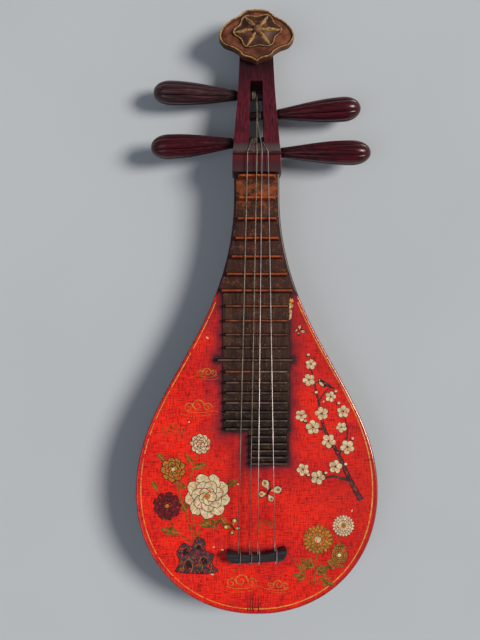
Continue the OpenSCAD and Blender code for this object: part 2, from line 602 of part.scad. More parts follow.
function pitch(s) = string_d[s] + turn_gap;
function wind_points(s) = [for (k = [0:turns * wound_rings]) let (a = 360 * k / wound_rings)
    [SHAFT_X[s] + WIND_TO[s] * pitch(s) * (1 + k / wound_rings), wind_r(s) * cos(a), wind_r(s) * sin(a)]];
function least_gap(p, d) = min([for (i = [0:len(p) - wound_rings - 1])
    norm(p[i + wound_rings] - p[i])]) - d;
module winding(i) let (s = search(i, STRING_PEG)[0], way = peg_side[i]) color("#d8d2c4") on_peg(i)
    tube(tube_rings([for (p = wind_points(s)) [way * p[0], p[1], p[2]]], string_d[s] / 2, wound_sides));
for (s = [0:3])
    echo(str("least gap between the turns of string ", s + 1), least_gap(wind_points(s), string_d[s]));

in_frame() back_shell();
in_frame() edge_binding();
in_frame() soundboard();
in_frame() fingerboard();
in_frame() fret_plate();
in_frame() pegbox();
in_frame() nut();
in_frame() head_plaque();
in_frame() star_medallion();
in_frame() plaque_dowels();
in_frame() bridge();
in_frame() sound_bar(bar_y[0]);  // lower_bar
in_frame() sound_bar(bar_y[1]);  // upper_bar
in_frame() sound_post();
for (i = [0:3]) {
    in_frame() peg(i);
    in_frame() winding(i);
    in_frame() string(i);
}
for (n = [1:fret_count])
    in_frame() fret(n);
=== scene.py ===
"""Looks of a small four-string pipa that lies on its back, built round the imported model."""
import itertools
import math
import random

import bpy
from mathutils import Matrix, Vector, noise


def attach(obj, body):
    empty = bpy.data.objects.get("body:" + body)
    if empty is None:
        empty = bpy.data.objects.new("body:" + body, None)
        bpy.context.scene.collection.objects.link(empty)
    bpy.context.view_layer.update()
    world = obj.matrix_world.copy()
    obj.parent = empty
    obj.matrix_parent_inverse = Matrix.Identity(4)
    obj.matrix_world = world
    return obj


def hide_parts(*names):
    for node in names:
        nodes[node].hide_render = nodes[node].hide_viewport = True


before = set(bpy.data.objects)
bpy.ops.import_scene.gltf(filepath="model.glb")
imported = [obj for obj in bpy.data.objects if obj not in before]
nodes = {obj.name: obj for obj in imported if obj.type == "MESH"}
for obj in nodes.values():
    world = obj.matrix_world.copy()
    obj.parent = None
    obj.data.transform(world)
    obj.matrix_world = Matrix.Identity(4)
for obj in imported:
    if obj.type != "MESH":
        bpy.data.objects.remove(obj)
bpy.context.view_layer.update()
INSTRUMENT = "instrument"
MM = 0.001
PER_METRE = 1000

# Sizes in millimetres, measured from the tail end and from the floor; they repeat the part's own values
BODY_W, BELLY_Y, TAIL_POWER, BELLY_PULL = 246, 125, 2.1, 103
NECK_W, NECK_END, NECK_STRAIGHT_Y, NECK_PULL = 46, 447.5, 426, 141
BACK_DEPTH, SIDE_BAND, FLAT_CUT, NECK_DEPTH, NECK_EVEN, NECK_BLOCK = 41.5, 5, 1.2, 20, 40, 12
FLOOR_T, LEDGE_W, ARCH_POWER, CAVITY_OVER = 6, 9, 2.5, 3
BINDING_W, BOARD_T, GLUE = 2.2, 4.5, 0.05
RIM_Z, BOARD_Z = BACK_DEPTH, BACK_DEPTH + BOARD_T
HEAD_TILT = math.radians(7)
PEGBOX_W, PEGBOX_TOP_W, PEGBOX_LEN, PEG_DEPTH = 49.6, 33.5, 160, 12.2
CHEEK_BEND, CHEEK_FLARE = (45, 68), 0.8
PLAQUE_W, PLAQUE_H, PLAQUE_T, PLAQUE_Y, BORDER_H, BORDER_W = 77, 57, 8, PEGBOX_LEN - 16, 1.8, 2.4
MEDALLION = (PLAQUE_W / 2 - BORDER_W - 10.6, PLAQUE_H / 2 - BORDER_W - 6.6)
STAR_X, STAR_Y, STAR_TURN = 1, PLAQUE_Y + 4.4, math.radians(3.5)
STAR_T, STAR_RIM_H, STAR_RIM_W, STAR_RISE, RAY_H, KNOB_R, KNOB_FLAT = 2.2, 0.9, 1.5, 3, 2.2, 5, 0.9
NUT_LEN, NUT_H, NUT_GAP = 32.8, 12, 0.4
SLOT_Y, SLOT_W = (15, 99), (16, 12.6)
SHAFT_R, SHAFT_END_R, SHAFT_SEAT, SHAFT_STEP = 4.6, 3.8, 7, 0.6
HANDLE_NECK_R, HANDLE_R, HANDLE_GAP, HANDLE_LOBES = 5.3, 12.8, 1.3, 6
HANDLE_FULL = 0.78    # share of the handle's length where it is thickest
HANDLE_SWELL, HANDLE_END = 1.2, 2.2    # powers of its curves before and after that place
STRING_LEN, NECK_FRETS, LONG_FRETS, SHORT_FRETS, OCTAVE_FRET = 419, 7, 12, 5, 12
LONG_X, SHORT_X, OCTAVE_X = (-33, 32), (-7, 31), (-41, 37)
NECK_FRET_T, FRET_T, FRET_END_SLOPE = (5, 2), (3.4, 1.6), 1.6
PLATE_T, PLATE_EDGE, ACTION = 0.8, 1, (0.7, 2)
BRIDGE_Y, BRIDGE_L, BRIDGE_H, BRIDGE_TURN, HOLE_Z = 61, (15, 9), 11, math.radians(3), 8
STRING_D = (1, 0.9, 0.8, 0.8)
NUT_X, MOUTH_X, BRIDGE_X = (-9.3, 0, 5.1, 11.2), (-5.6, 0, 4.6, 6), (-18.5, -7, 1.2, 18.5)
STRING_PEG, SHAFT_X, WIND_TO = (2, 0, 1, 3), (-6, 0.7, -0.2, 6), (1, -1, 1, -1)
STRING_CLEAR, STRING_APART, TURNS, TURN_GAP = 0.1, 0.35, 3, 0.5
RIDGE_STAND, FOOT_TURN = 1.35, (1.25, 0.4)    # ways round the nut's edges, in shares of the clear radius
PEGS = ("upper_left", "upper_right", "lower_left", "lower_right")
PEG_SIDE, PEG_Y = (-1, 1, -1, 1), (87, 65.6, 37.9, 26.2)
PEG_RISE, HANDLE_LEN = (2.4, 4.7, -3.4, 0), (87, 87, 85, 93)


# Places and curves

def head(p):
    """A point of the tilted head, in the frame of the body."""
    c, s = math.cos(HEAD_TILT), math.sin(HEAD_TILT)
    return (p[0], NECK_END + p[1] * c + p[2] * s, BOARD_Z - p[1] * s + p[2] * c)


LENGTH = head((0, PLAQUE_Y + PLAQUE_H / 2, PLAQUE_T + BORDER_H))[1]


def metres(p):
    """A point in millimetres from the tail end, in metres of the shared frame."""
    return (p[0] * MM, (p[1] - LENGTH / 2) * MM, p[2] * MM)


def lerp(a, b, t):
    return a + (b - a) * t


def clamp(t, most=1.0):
    return max(0.0, min(most, t))


def smooth(t):
    t = clamp(t)
    return t * t * (3 - 2 * t)


def full_turn(steps):
    """Angles of equal steps round a full turn."""
    return [2 * math.pi * k / steps for k in range(steps)]


def out_from(x, y, reach, angle):
    return (x + reach * math.cos(angle), y + reach * math.sin(angle))


def turned(points, x, y, angle):
    """Flat points turned about the origin and then moved to a place."""
    c, s = math.cos(angle), math.sin(angle)
    return [(x + u * c - v * s, y + u * s + v * c) for u, v in points]


def bezier(p, t):
    k = ((1 - t) ** 3, 3 * (1 - t) ** 2 * t, 3 * (1 - t) * t * t, t ** 3)
    return tuple(sum(k[i] * p[i][j] for i in range(4)) for j in range(len(p[0])))


def through(p, steps):
    """A smooth curve through a list of points, with the given steps between neighbours."""
    out = []
    for i in range(len(p) - 1):
        a, b, c, d = p[max(i - 1, 0)], p[i], p[i + 1], p[min(i + 2, len(p) - 1)]
        for k in range(steps):
            t = k / steps
            out.append(tuple(
                0.5 * (2 * b[j] + (c[j] - a[j]) * t + (2 * a[j] - 5 * b[j] + 4 * c[j] - d[j]) * t * t
                       + (3 * b[j] - a[j] - 3 * c[j] + d[j]) * t ** 3) for j in range(len(b))))
    return out + [tuple(p[-1])]


def headings(line):
    """The direction of a flat line at each of its points."""
    ends = zip(line[:1] + line[:-1], line[1:] + line[-1:])
    return [Vector((b[0] - a[0], b[1] - a[1])).normalized() for a, b in ends]


def lookup(table, y):
    """Straight-line reading of a list of (place, value) that rises in place."""
    if y <= table[0][0]:
        return table[0][1]
    for (y0, v0), (y1, v1) in zip(table, table[1:]):
        if y <= y1:
            return lerp(v0, v1, (y - y0) / (y1 - y0)) if y1 > y0 else v1
    return table[-1][1]


# Body outline: half widths along the length, and the same line moved inwards

def body_side(tail_steps, side_steps):
    side = []
    for i in range(tail_steps + 1):
        a = math.pi / 2 * i / tail_steps
        side.append((BODY_W / 2 * math.sin(a) ** (2 / TAIL_POWER),
                     BELLY_Y * (1 - max(0, math.cos(a)) ** (2 / TAIL_POWER))))
    curve = ((BODY_W / 2, BELLY_Y), (BODY_W / 2, BELLY_Y + BELLY_PULL),
             (NECK_W / 2, NECK_STRAIGHT_Y - NECK_PULL), (NECK_W / 2, NECK_STRAIGHT_Y))
    side += [bezier(curve, i / side_steps) for i in range(1, side_steps + 1)]
    return side + [(NECK_W / 2, NECK_END)]


SIDE = body_side(tail_steps=40, side_steps=60)
WIDTHS = [(y, x) for x, y in SIDE]


def half_width(y):
    return lookup(WIDTHS, y)


def inset_side(d):
    ways = headings(SIDE)
    ways[0], ways[-1] = Vector((1, 0)), Vector((0, 1))
    return [(max(0.0, x - d * way.y), y + d * way.x) for (x, y), way in zip(SIDE, ways)]


# Strings and frets share one line from the nut ridge to the bridge

WIDE_R = max(STRING_D) / 2
RIDGE_LIFT = RIDGE_STAND * (WIDE_R + STRING_CLEAR)
FIRST_STEP = STRING_LEN * (1 - 2 ** (-1 / 12))
NUT_RIDGE_Y = (FIRST_STEP - NECK_FRET_T[0] / 2 - NUT_GAP
               - (NUT_H + RIDGE_LIFT) * math.sin(HEAD_TILT)) / math.cos(HEAD_TILT)
RIDGE = head((0, NUT_RIDGE_Y, NUT_H + RIDGE_LIFT))
STRING_END_Y = BRIDGE_Y + BRIDGE_L[0] / 2
FRET_COUNT = NECK_FRETS + LONG_FRETS + SHORT_FRETS


def fret_y(n):
    return RIDGE[1] - STRING_LEN * (1 - 2 ** (-n / 12))


JOINT_Y = fret_y(NECK_FRETS) - NECK_FRET_T[0] / 2 - GLUE


def fret_top(y):
    t = (RIDGE[1] - y) / (RIDGE[1] - STRING_END_Y)
    return RIDGE[2] + (BOARD_Z + HOLE_Z - RIDGE[2]) * t - WIDE_R - lerp(*ACTION, t)


# Materials

# Sockets of a Mix node that goes from one colour to another
SHARE, FROM, TO, MIXED = 0, 6, 7, 2
# Pattern sizes in millimetres; the cloth's threads and the strings' winding are really finer, and are drawn
# this coarse to show
THREAD_MM, STROKE_MM, THROUGH_MM = 1.2, 9, 50
CRACK_MM, FADED_PATCH_MM, STAIN_CLOUD_MM = 8, 45, 22
GRAIN_MM = {"X": (45, 1.1, 1.1), "Y": (1.1, 45, 1.1)}
WINDING_MM, WAVE_AT_ONE = 0.45, 0.314    # a wave texture of scale 1 repeats at this step
TARNISH_END_Y = 185                      # the strings are dull from the bridge to here
RELIEF, SOFT_RELIEF = 0.6, 0.35          # strengths of bumps


def linear(colour):
    parts = [int(colour[i:i + 2], 16) / 255 for i in (1, 3, 5)]
    return [c / 12.92 if c <= 0.04045 else ((c + 0.055) / 1.055) ** 2.4 for c in parts] + [1.0]


def add(tree, kind, inputs=None, out=0, stops=(), **settings):
    """Adds a node with its settings, its input values or links and its ramp stops; returns one output."""
    made = tree.nodes.new("ShaderNode" + kind)
    for name, value in settings.items():
        setattr(made, name, value)
    for name, value in (inputs or {}).items():
        if isinstance(value, bpy.types.NodeSocket):
            tree.links.new(value, made.inputs[name])
        else:
            made.inputs[name].default_value = value
    if stops:
        elements = made.color_ramp.elements
        while len(elements) < len(stops):
            elements.new(0.5)
        for element, (place, colour) in zip(elements, stops):
            element.position, element.color = place, linear(colour)
    return made.outputs[out]


def new_material(name):
    """An empty material and its node tree."""
    material = bpy.data.materials.new(name)
    material.use_nodes = True
    tree = material.node_tree
    tree.nodes.remove(tree.nodes["Principled BSDF"])
    return material, tree


def finished(material, **sockets):
    """Ends a material: its surface takes what is the same all over and the patterns that vary."""
    tree = material.node_tree
    surface = add(tree, "BsdfPrincipled", {name.replace("_", " "): v for name, v in sockets.items()})
    tree.links.new(surface, tree.nodes["Material Output"].inputs["Surface"])
    return material


def streaks(tree, size, detail=2.0):
    """Noise drawn out to streaks of the given sizes in millimetres along X, Y and Z."""
    place = add(tree, "TexCoord", out="Object")
    scaled = add(tree, "Mapping", {"Vector": place, "Scale": [PER_METRE / s for s in size]})
    return add(tree, "TexNoise", {"Vector": scaled, "Scale": 1.0, "Detail": detail, "Roughness": 0.6}, "Fac")


def along_row(tree, low_y, high_y):
    """Rises from 0 to 1 between two places along the instrument."""
    place = add(tree, "TexCoord", out="Object")
    y = add(tree, "SeparateXYZ", {0: place}, "Y")
    return add(tree, "MapRange", {"Value": y, "From Min": (low_y - LENGTH / 2) * MM,
                                  "From Max": (high_y - LENGTH / 2) * MM})


def cloth_ground(tree):
    """Red lacquer over coarse cloth: the colour and the height of its threads and fine cracks."""
    weft = streaks(tree, (STROKE_MM, THREAD_MM, THROUGH_MM))
    warp = streaks(tree, (THREAD_MM, STROKE_MM, THROUGH_MM))
    threads = add(tree, "Math", {0: weft, 1: warp}, operation="MULTIPLY")
    patches = add(tree, "ValToRGB", {"Fac": streaks(tree, [FADED_PATCH_MM] * 3)},
                  stops=((0.42, "#000000"), (0.62, "#ffffff")))
    fresh = add(tree, "ValToRGB", {"Fac": threads},
                stops=((0.13, "#9c0806"), (0.2, "#e0180a"), (0.29, "#ff2c0e")))
    worn = add(tree, "ValToRGB", {"Fac": threads},
               stops=((0.13, "#7c080a"), (0.21, "#c8120e"), (0.31, "#f02210")))
    red = add(tree, "Mix", {SHARE: patches, FROM: fresh, TO: worn}, MIXED, data_type="RGBA")
    place = add(tree, "TexCoord", out="Object")
    crack = add(tree, "TexVoronoi", {"Vector": place, "Scale": PER_METRE / CRACK_MM, "Randomness": 1.0},
                "Distance", feature="DISTANCE_TO_EDGE")
    line = add(tree, "ValToRGB", {"Fac": crack}, stops=((0.0, "#ffffff"), (0.02, "#000000")))
    dirt = add(tree, "Math", {0: line, 1: 0.4}, operation="MULTIPLY")
    colour = add(tree, "Mix", {SHARE: dirt, FROM: red, TO: linear("#4a060a")}, MIXED, data_type="RGBA")
    depth = add(tree, "Math", {0: line, 1: 0.3}, operation="MULTIPLY")
    height = add(tree, "Math", {0: threads, 1: depth}, operation="SUBTRACT")
    return colour, height


def red_lacquer(name, matt, gloss, coat):
    """Vermilion lacquer brushed over cloth: saturated, a little glossy, crazed, dirty where hands reach."""
    material, tree = new_material(name)
    colour, height = cloth_ground(tree)
    age = add(tree, "Attribute", out="Fac", attribute_name="age")
    grime = add(tree, "Attribute", out="Fac", attribute_name="grime")
    aged = add(tree, "Mix", {SHARE: age, FROM: colour, TO: linear("#8e1418")}, MIXED, data_type="RGBA")
    dirt = add(tree, "ValToRGB", {"Fac": grime},
               stops=((0.0, "#7a1c30"), (0.5, "#4a1828"), (1.0, "#1a0c10")))
    cover = add(tree, "Math", {0: grime, 1: 1.35}, operation="MULTIPLY")
    soiled = add(tree, "Mix", {SHARE: cover, FROM: aged, TO: dirt}, MIXED, data_type="RGBA")
    rough = add(tree, "MapRange", {"Value": height, "To Min": matt, "To Max": gloss})
    bumps = add(tree, "Bump", {"Height": height, "Distance": 0.35 * MM, "Strength": RELIEF})
    return finished(material, IOR=1.5, Specular_IOR_Level=0.24, Coat_Weight=coat, Coat_Roughness=0.12,
                    Base_Color=soiled, Roughness=rough, Normal=bumps)


def tempera(name, low, high, wear):
    """Tempera painted on the lacquer: flat, chalky, and rubbed through to the red on the threads."""
    material, tree = new_material(name)
    ground, height = cloth_ground(tree)
    tone = add(tree, "ValToRGB", {"Fac": streaks(tree, (5, 5, 5), 4.0)}, stops=((0.35, low), (0.65, high)))
    rubbed = add(tree, "ValToRGB", {"Fac": streaks(tree, (2.2, 2.2, 9), 3.0)},
                 stops=((wear - 0.07, "#ffffff"), (wear + 0.05, "#000000")))
    colour = add(tree, "Mix", {SHARE: rubbed, FROM: tone, TO: ground}, MIXED, data_type="RGBA")
    bumps = add(tree, "Bump", {"Height": height, "Distance": 0.3 * MM, "Strength": RELIEF})
    return finished(material, IOR=1.45, Roughness=0.62, Specular_IOR_Level=0.3,
                    Base_Color=colour, Normal=bumps)


def stained_wood(name, along, dark, mid, light, gloss, coat, painted_shadow_from=None):
    """Wood stained and polished, or left bare: streaks of grain, a soft shine or none, dirt and painted shade
    in corners and grooves, and where asked a painted shadow that deepens along the row.
    """
    material, tree = new_material(name)
    grain = streaks(tree, GRAIN_MM[along], 3.0)
    figure = add(tree, "ValToRGB", {"Fac": grain}, stops=((0.25, dark), (0.5, mid), (0.8, light)))
    clouds = add(tree, "ValToRGB", {"Fac": streaks(tree, [STAIN_CLOUD_MM] * 3)},
                 stops=((0.4, "#000000"), (0.7, "#909090")))
    stained = add(tree, "Mix", {SHARE: clouds, FROM: figure, TO: linear(dark)}, MIXED, data_type="RGBA")
    # dirt, and on the pegs painted shade, darken the wood where the attribute asks
    grime = add(tree, "Attribute", out="Fac", attribute_name="grime")
    colour = add(tree, "Mix", {SHARE: grime, FROM: stained, TO: linear("#0d0708")}, MIXED, data_type="RGBA")
    # painted shadow: the wood darkens along the row, as in the plaque's shade on the pegbox
    if painted_shadow_from:
        depth = add(tree, "Math", {0: along_row(tree, *painted_shadow_from), 1: 0.85}, operation="MULTIPLY")
        colour = add(tree, "Mix", {SHARE: depth, FROM: colour, TO: linear(dark)}, MIXED, data_type="RGBA")
    rough = add(tree, "MapRange", {"Value": grain, "To Min": gloss - 0.08, "To Max": gloss + 0.12})
    bumps = add(tree, "Bump", {"Height": grain, "Distance": 0.06 * MM, "Strength": SOFT_RELIEF})
    return finished(material, IOR=1.5, Coat_Weight=coat, Coat_Roughness=0.22, Specular_IOR_Level=0.26,
                    Base_Color=colour, Roughness=rough, Normal=bumps)


def nut_finish(name):
    """Stained block of the nut: red where the lacquer holds, grey-brown where strings and hands rubbed it,
    and a dark band between them that is painted shade of the ridge's step.
    """
    material, tree = new_material(name)
    ridge_y = head((0, NUT_RIDGE_Y - 2, NUT_H))[1]
    top_y = head((0, NUT_LEN, 0))[1]
    ridge = (ridge_y - NECK_END) / (top_y - NECK_END)
    waver = add(tree, "MapRange", {"Value": streaks(tree, (6, 4, 6), 3.0), "To Min": -0.12, "To Max": 0.12})
    bands = add(tree, "Math", {0: along_row(tree, NECK_END, top_y), 1: waver}, operation="ADD")
    # the dark stop just past the ridge is painted shade of the ridge's step
    stain = add(tree, "ValToRGB", {"Fac": bands}, stops=(
        (0.05, "#42282f"), (0.3, "#480f1c"), (ridge - 0.04, "#640a16"),
        (ridge + 0.03, "#2c1014"), (ridge + 0.14, "#6a5657"), (1.0, "#4c3c3e")))
    grain = streaks(tree, (26, 1.2, 1.2), 3.0)
    figure = add(tree, "MapRange", {"Value": grain, "To Min": 0.0, "To Max": 0.4})
    colour = add(tree, "Mix", {SHARE: figure, FROM: stain, TO: linear("#1a0a0e")}, MIXED, data_type="RGBA")
    rough = add(tree, "MapRange", {"Value": grain, "To Min": 0.34, "To Max": 0.54})
    bumps = add(tree, "Bump", {"Height": grain, "Distance": 0.08 * MM, "Strength": 0.4})
    return finished(material, IOR=1.5, Coat_Weight=0.12, Coat_Roughness=0.3, Specular_IOR_Level=0.35,
                    Base_Color=colour, Roughness=rough, Normal=bumps)


def worn_wood(name, dark, mid, glow, flecks, rubbed_from, rubbed_until_shade=None, soot_up_to=None):
    """Lacquered wood rubbed by fingers: a dark ground with warm worn patches and gold specks; where asked,
    the worn patch stops short of a fret and leaves painted shade beside it.
    """
    material, tree = new_material(name)
    grain = streaks(tree, (1.2, 26, 4), 3.0)
    blot = streaks(tree, (9, 6, 9), 4.0)
    speck = streaks(tree, (1.3, 1.3, 3))
    ground = add(tree, "ValToRGB", {"Fac": grain}, stops=((0.32, dark), (0.7, mid)))
    if soot_up_to:
        clean = along_row(tree, *soot_up_to)
        ground = add(tree, "Mix", {SHARE: clean, FROM: linear(dark), TO: ground}, MIXED, data_type="RGBA")
    rubbed = along_row(tree, *rubbed_from)
    # painted shade: the worn patch fades out before the given place, so the ground stays dark beside a fret
    if rubbed_until_shade:
        rubbed = add(tree, "Math", {0: rubbed, 1: along_row(tree, *rubbed_until_shade)}, operation="MULTIPLY")
    patch = add(tree, "Math", {0: rubbed, 1: 0.2, 2: blot}, operation="MULTIPLY_ADD")
    bare = add(tree, "ValToRGB", {"Fac": patch}, stops=((0.58, "#000000"), (0.82, "#ffffff")))
    warm = add(tree, "Mix", {SHARE: bare, FROM: ground, TO: linear(glow)}, MIXED, data_type="RGBA")
    specks = add(tree, "ValToRGB", {"Fac": speck}, stops=((0.57, "#000000"), (0.66, "#ffffff")))
    near_patch = add(tree, "ValToRGB", {"Fac": patch}, stops=((0.42, "#202020"), (0.66, "#ffffff")))
    gold = add(tree, "Math", {0: specks, 1: near_patch}, operation="MULTIPLY")
    colour = add(tree, "Mix", {SHARE: gold, FROM: warm, TO: linear(flecks)}, MIXED, data_type="RGBA")
    rough = add(tree, "MapRange", {"Value": blot, "To Min": 0.36, "To Max": 0.62})
    bumps = add(tree, "Bump", {"Height": grain, "Distance": 0.12 * MM, "Strength": RELIEF})
    return finished(material, IOR=1.5, Specular_IOR_Level=0.3,
                    Base_Color=colour, Roughness=rough, Normal=bumps)


def fret_wood(name, crest, pale, side, dark):
    """Bamboo rind on a dark wooden bar: a worn honey crest over nearly black flanks, dark from stain and from
    painted shade.
    """
    material, tree = new_material(name)
    grain = streaks(tree, (30, 0.7, 2), 3.0)
    # the flanks' dark colours are stain and painted shade
    flanks = add(tree, "ValToRGB", {"Fac": grain}, stops=((0.35, dark), (0.7, side)))
    paler = add(tree, "Attribute", out="Fac", attribute_name="pale")
    rind = add(tree, "Mix", {SHARE: paler, FROM: linear(crest), TO: linear(pale)}, MIXED, data_type="RGBA")
    figure = add(tree, "MapRange", {"Value": grain, "To Min": 0.0, "To Max": 0.5})
    rind = add(tree, "Mix", {SHARE: figure, FROM: rind, TO: linear(side)}, MIXED, data_type="RGBA")
    on_crest = add(tree, "Attribute", out="Fac", attribute_name="crest")
    uneven = add(tree, "ValToRGB", {"Fac": streaks(tree, (7, 5, 5))},
                 stops=((0.3, "#8a8a8a"), (0.6, "#ffffff")))
    worn = add(tree, "Math", {0: on_crest, 1: uneven}, operation="MULTIPLY")
    colour = add(tree, "Mix", {SHARE: worn, FROM: flanks, TO: rind}, MIXED, data_type="RGBA")
    rough = add(tree, "MapRange", {"Value": grain, "To Min": 0.32, "To Max": 0.52})
    bumps = add(tree, "Bump", {"Height": grain, "Distance": 0.08 * MM, "Strength": RELIEF})
    return finished(material, IOR=1.5, Coat_Weight=0.1, Coat_Roughness=0.3, Specular_IOR_Level=0.3,
                    Base_Color=colour, Roughness=rough, Normal=bumps)


def carved_gilt(name, recess, field, gold):
    """Carved wood with paint worn to brown: gold left on the ridges, dirt in the hollows."""
    material, tree = new_material(name)
    grain = streaks(tree, (1.4, 12, 1.4), 3.0)
    clouds = add(tree, "ValToRGB", {"Fac": streaks(tree, (9, 9, 9), 3.0)},
                 stops=((0.35, "#000000"), (0.7, "#ffffff")))
    tone = add(tree, "Mix", {SHARE: clouds, FROM: linear(recess), TO: linear(field)}, MIXED, data_type="RGBA")
    figure = add(tree, "MapRange", {"Value": grain, "To Min": 0.0, "To Max": 0.5})
    tone = add(tree, "Mix", {SHARE: figure, FROM: tone, TO: linear(recess)}, MIXED, data_type="RGBA")
    hollow = add(tree, "Attribute", out="Fac", attribute_name="hollow")
    soiled = add(tree, "Mix", {SHARE: hollow, FROM: tone, TO: linear("#140a08")}, MIXED, data_type="RGBA")
    ridge = add(tree, "Attribute", out="Fac", attribute_name="ridge")
    wear = add(tree, "ValToRGB", {"Fac": streaks(tree, (1.9, 1.9, 1.9), 3.0)},
               stops=((0.36, "#303030"), (0.58, "#ffffff")))
    left = add(tree, "Math", {0: ridge, 1: wear}, operation="MULTIPLY")
    colour = add(tree, "Mix", {SHARE: left, FROM: soiled, TO: linear(gold)}, MIXED, data_type="RGBA")
    rough = add(tree, "MapRange", {"Value": grain, "To Min": 0.4, "To Max": 0.62})
    bumps = add(tree, "Bump", {"Height": grain, "Distance": 0.15 * MM, "Strength": RELIEF})
    return finished(material, IOR=1.5, Specular_IOR_Level=0.3,
                    Base_Color=colour, Roughness=rough, Normal=bumps)


def string_metal(name, dull, bright, wound):
    """Drawn steel wire: bright over the frets, dull with tarnish towards the bridge, ribbed where wound."""
    material, tree = new_material(name)
    clean = add(tree, "ValToRGB", {"Fac": streaks(tree, (3, 14, 3))}, stops=((0.35, dull), (0.65, bright)))
    kept = add(tree, "ValToRGB", {"Fac": along_row(tree, BRIDGE_Y, TARNISH_END_Y)}, stops=(
        (0.09, "#c0c0c0"), (0.15, "#000000"), (0.4, "#000000"), (1.0, "#ffffff")))
    colour = add(tree, "Mix", {SHARE: kept, FROM: linear("#6e4e48"), TO: clean}, MIXED, data_type="RGBA")
    varied = {"Base_Color": colour}
    if wound:
        place = add(tree, "TexCoord", out="Object")
        ribs = add(tree, "TexWave", {"Vector": place, "Scale": WAVE_AT_ONE / (WINDING_MM * MM)}, "Fac",
                   bands_direction="Y")
        varied["Normal"] = add(tree, "Bump", {"Height": ribs, "Distance": 0.1 * MM, "Strength": 0.8})
    return finished(material, Metallic=0.85, Roughness=0.42, **varied)


LACQUER = red_lacquer("vermilion_lacquer_on_cloth", matt=0.52, gloss=0.4, coat=0.0)
RIM_LACQUER = red_lacquer("polished_vermilion_rim", matt=0.36, gloss=0.26, coat=0.8)
CREAM = tempera("cream_tempera", "#b9ae84", "#e6dcb6", wear=0.4)
OCHRE = tempera("ochre_tempera", "#8f5f16", "#c08f36", wear=0.42)
OLIVE = tempera("olive_tempera", "#3f3a12", "#75661f", wear=0.44)
SLATE = tempera("slate_tempera", "#2c1d25", "#4c3a42", wear=0.4)
CRIMSON = tempera("crimson_tempera", "#4e0c16", "#74151e", wear=0.38)
INK = tempera("soot_ink", "#120908", "#241310", wear=0.38)
GOLD_LINE = tempera("shell_gold_line", "#c47426", "#e6ae56", wear=0.38)
PEG_WOOD = stained_wood("stained_hardwood_along_x", "X", "#0e0308", "#380612", "#741028",
                        gloss=0.26, coat=0.22)
# greyer wood for the upper left peg: dulled polish with a painted grey sheen of reflected light
DULLED_AND_SHEEN_PEG_WOOD = stained_wood("dulled_and_sheen_hardwood_along_x", "X", "#120809", "#36191f", "#684048",
                             gloss=0.32, coat=0.3)
# the pegbox darkens towards the head plaque as a painted shadow of the plaque
HEAD_WOOD = stained_wood("stained_hardwood_along_y", "Y", "#120206", "#541022", "#7e2038",
                         gloss=0.42, coat=0.08, painted_shadow_from=(NECK_END + 80, NECK_END + 116))
BACK_WOOD = stained_wood("varnished_back_wood", "Y", "#240c0a", "#552016", "#7a3622",
                         gloss=0.32, coat=0.35)
NECK_EDGE_WOOD = stained_wood("varnished_neck_edge", "Y", "#16060e", "#3a1022", "#582034",
                              gloss=0.4, coat=0.12)
BRIDGE_WOOD = stained_wood("blackened_hardwood", "X", "#0a0a0c", "#25242a", "#46474f",
                           gloss=0.5, coat=0.1)
BARE_WOOD = stained_wood("bare_softwood", "X", "#a9844e", "#c8a468", "#dcc08a",
                         gloss=0.7, coat=0.0)
NUT_WOOD = nut_finish("rubbed_nut_wood")
# the worn patch lies between the first two frets and stops short of the first, leaving painted shade beside
# it
FINGER_WOOD = worn_wood("rubbed_fingerboard_lacquer", "#1e100d", "#4c2820", "#92431a", "#8e5c26",
                        rubbed_from=(402, 428), rubbed_until_shade=(446, 436))
PLATE_WOOD = worn_wood("rubbed_plate_lacquer", "#170e0d", "#583226", "#643022", "#7c6236",
                       rubbed_from=(300, 420), soot_up_to=(190, 290))
NECK_FRET_WOOD = fret_wood("bamboo_neck_fret", "#c4602a", "#b4705c", "#702a14", "#3c140a")
BOARD_FRET_WOOD = fret_wood("bamboo_board_fret", "#a8542a", "#94807a", "#3a1a14", "#160a09")
PLAQUE_GILT = carved_gilt("worn_gilt_plaque", "#4a2416", "#9a5a40", "#c09a5a")
STAR_GILT = carved_gilt("worn_gilt_star", "#3a1c18", "#7a4a3a", "#c09858")
WOUND = string_metal("wound_steel_string", "#7c7466", "#b4aa98", wound=True)
PLAIN = string_metal("plain_steel_string", "#b0a6a4", "#e6dcda", wound=False)


# Building pieces

def piece(name, points, faces, material, stands_for=(), body=INSTRUMENT, sharp=40, values=None):
    """Makes one piece from points in millimetres, smooth up to the sharp angle, and rides it on its body."""
    mesh = bpy.data.meshes.new(name)
    mesh.from_pydata([metres(p) for p in points], [], faces)
    mesh.shade_smooth()
    mesh.set_sharp_from_angle(angle=math.radians(sharp))
    for key, data in (values or {}).items():
        mesh.attributes.new(key, "FLOAT", "POINT").data.foreach_set("value", data)
    mesh.materials.append(material)
    made = bpy.data.objects.new(name, mesh)
    bpy.context.scene.collection.objects.link(made)
    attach(made, body)
    if stands_for:
        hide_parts(*stands_for)


def loft(rings, sides):
    """Faces of a skin over rings of equal size, with both ends shut."""
    faces = [list(range(sides))[::-1]]
    for i in range(rings - 1):
        for k in range(sides):
            a, b = i * sides + k, i * sides + (k + 1) % sides
            faces.append([a, b, b + sides, a + sides])
    faces.append([(rings - 1) * sides + k for k in range(sides)])
    return faces


def tube_rings(route, radius, sides):
    """Rings of a round tube along a route that never runs along X."""
    rings = []
    for i, p in enumerate(route):
        ahead = (Vector(route[min(i + 1, len(route) - 1)]) - Vector(route[max(i - 1, 0)])).normalized()
        u = ahead.cross(Vector((1, 0, 0))).normalized()
        v = ahead.cross(u).normalized()
        rings += [tuple(Vector(p) + radius * (math.cos(a) * u + math.sin(a) * v)) for a in full_turn(sides)]
    return rings


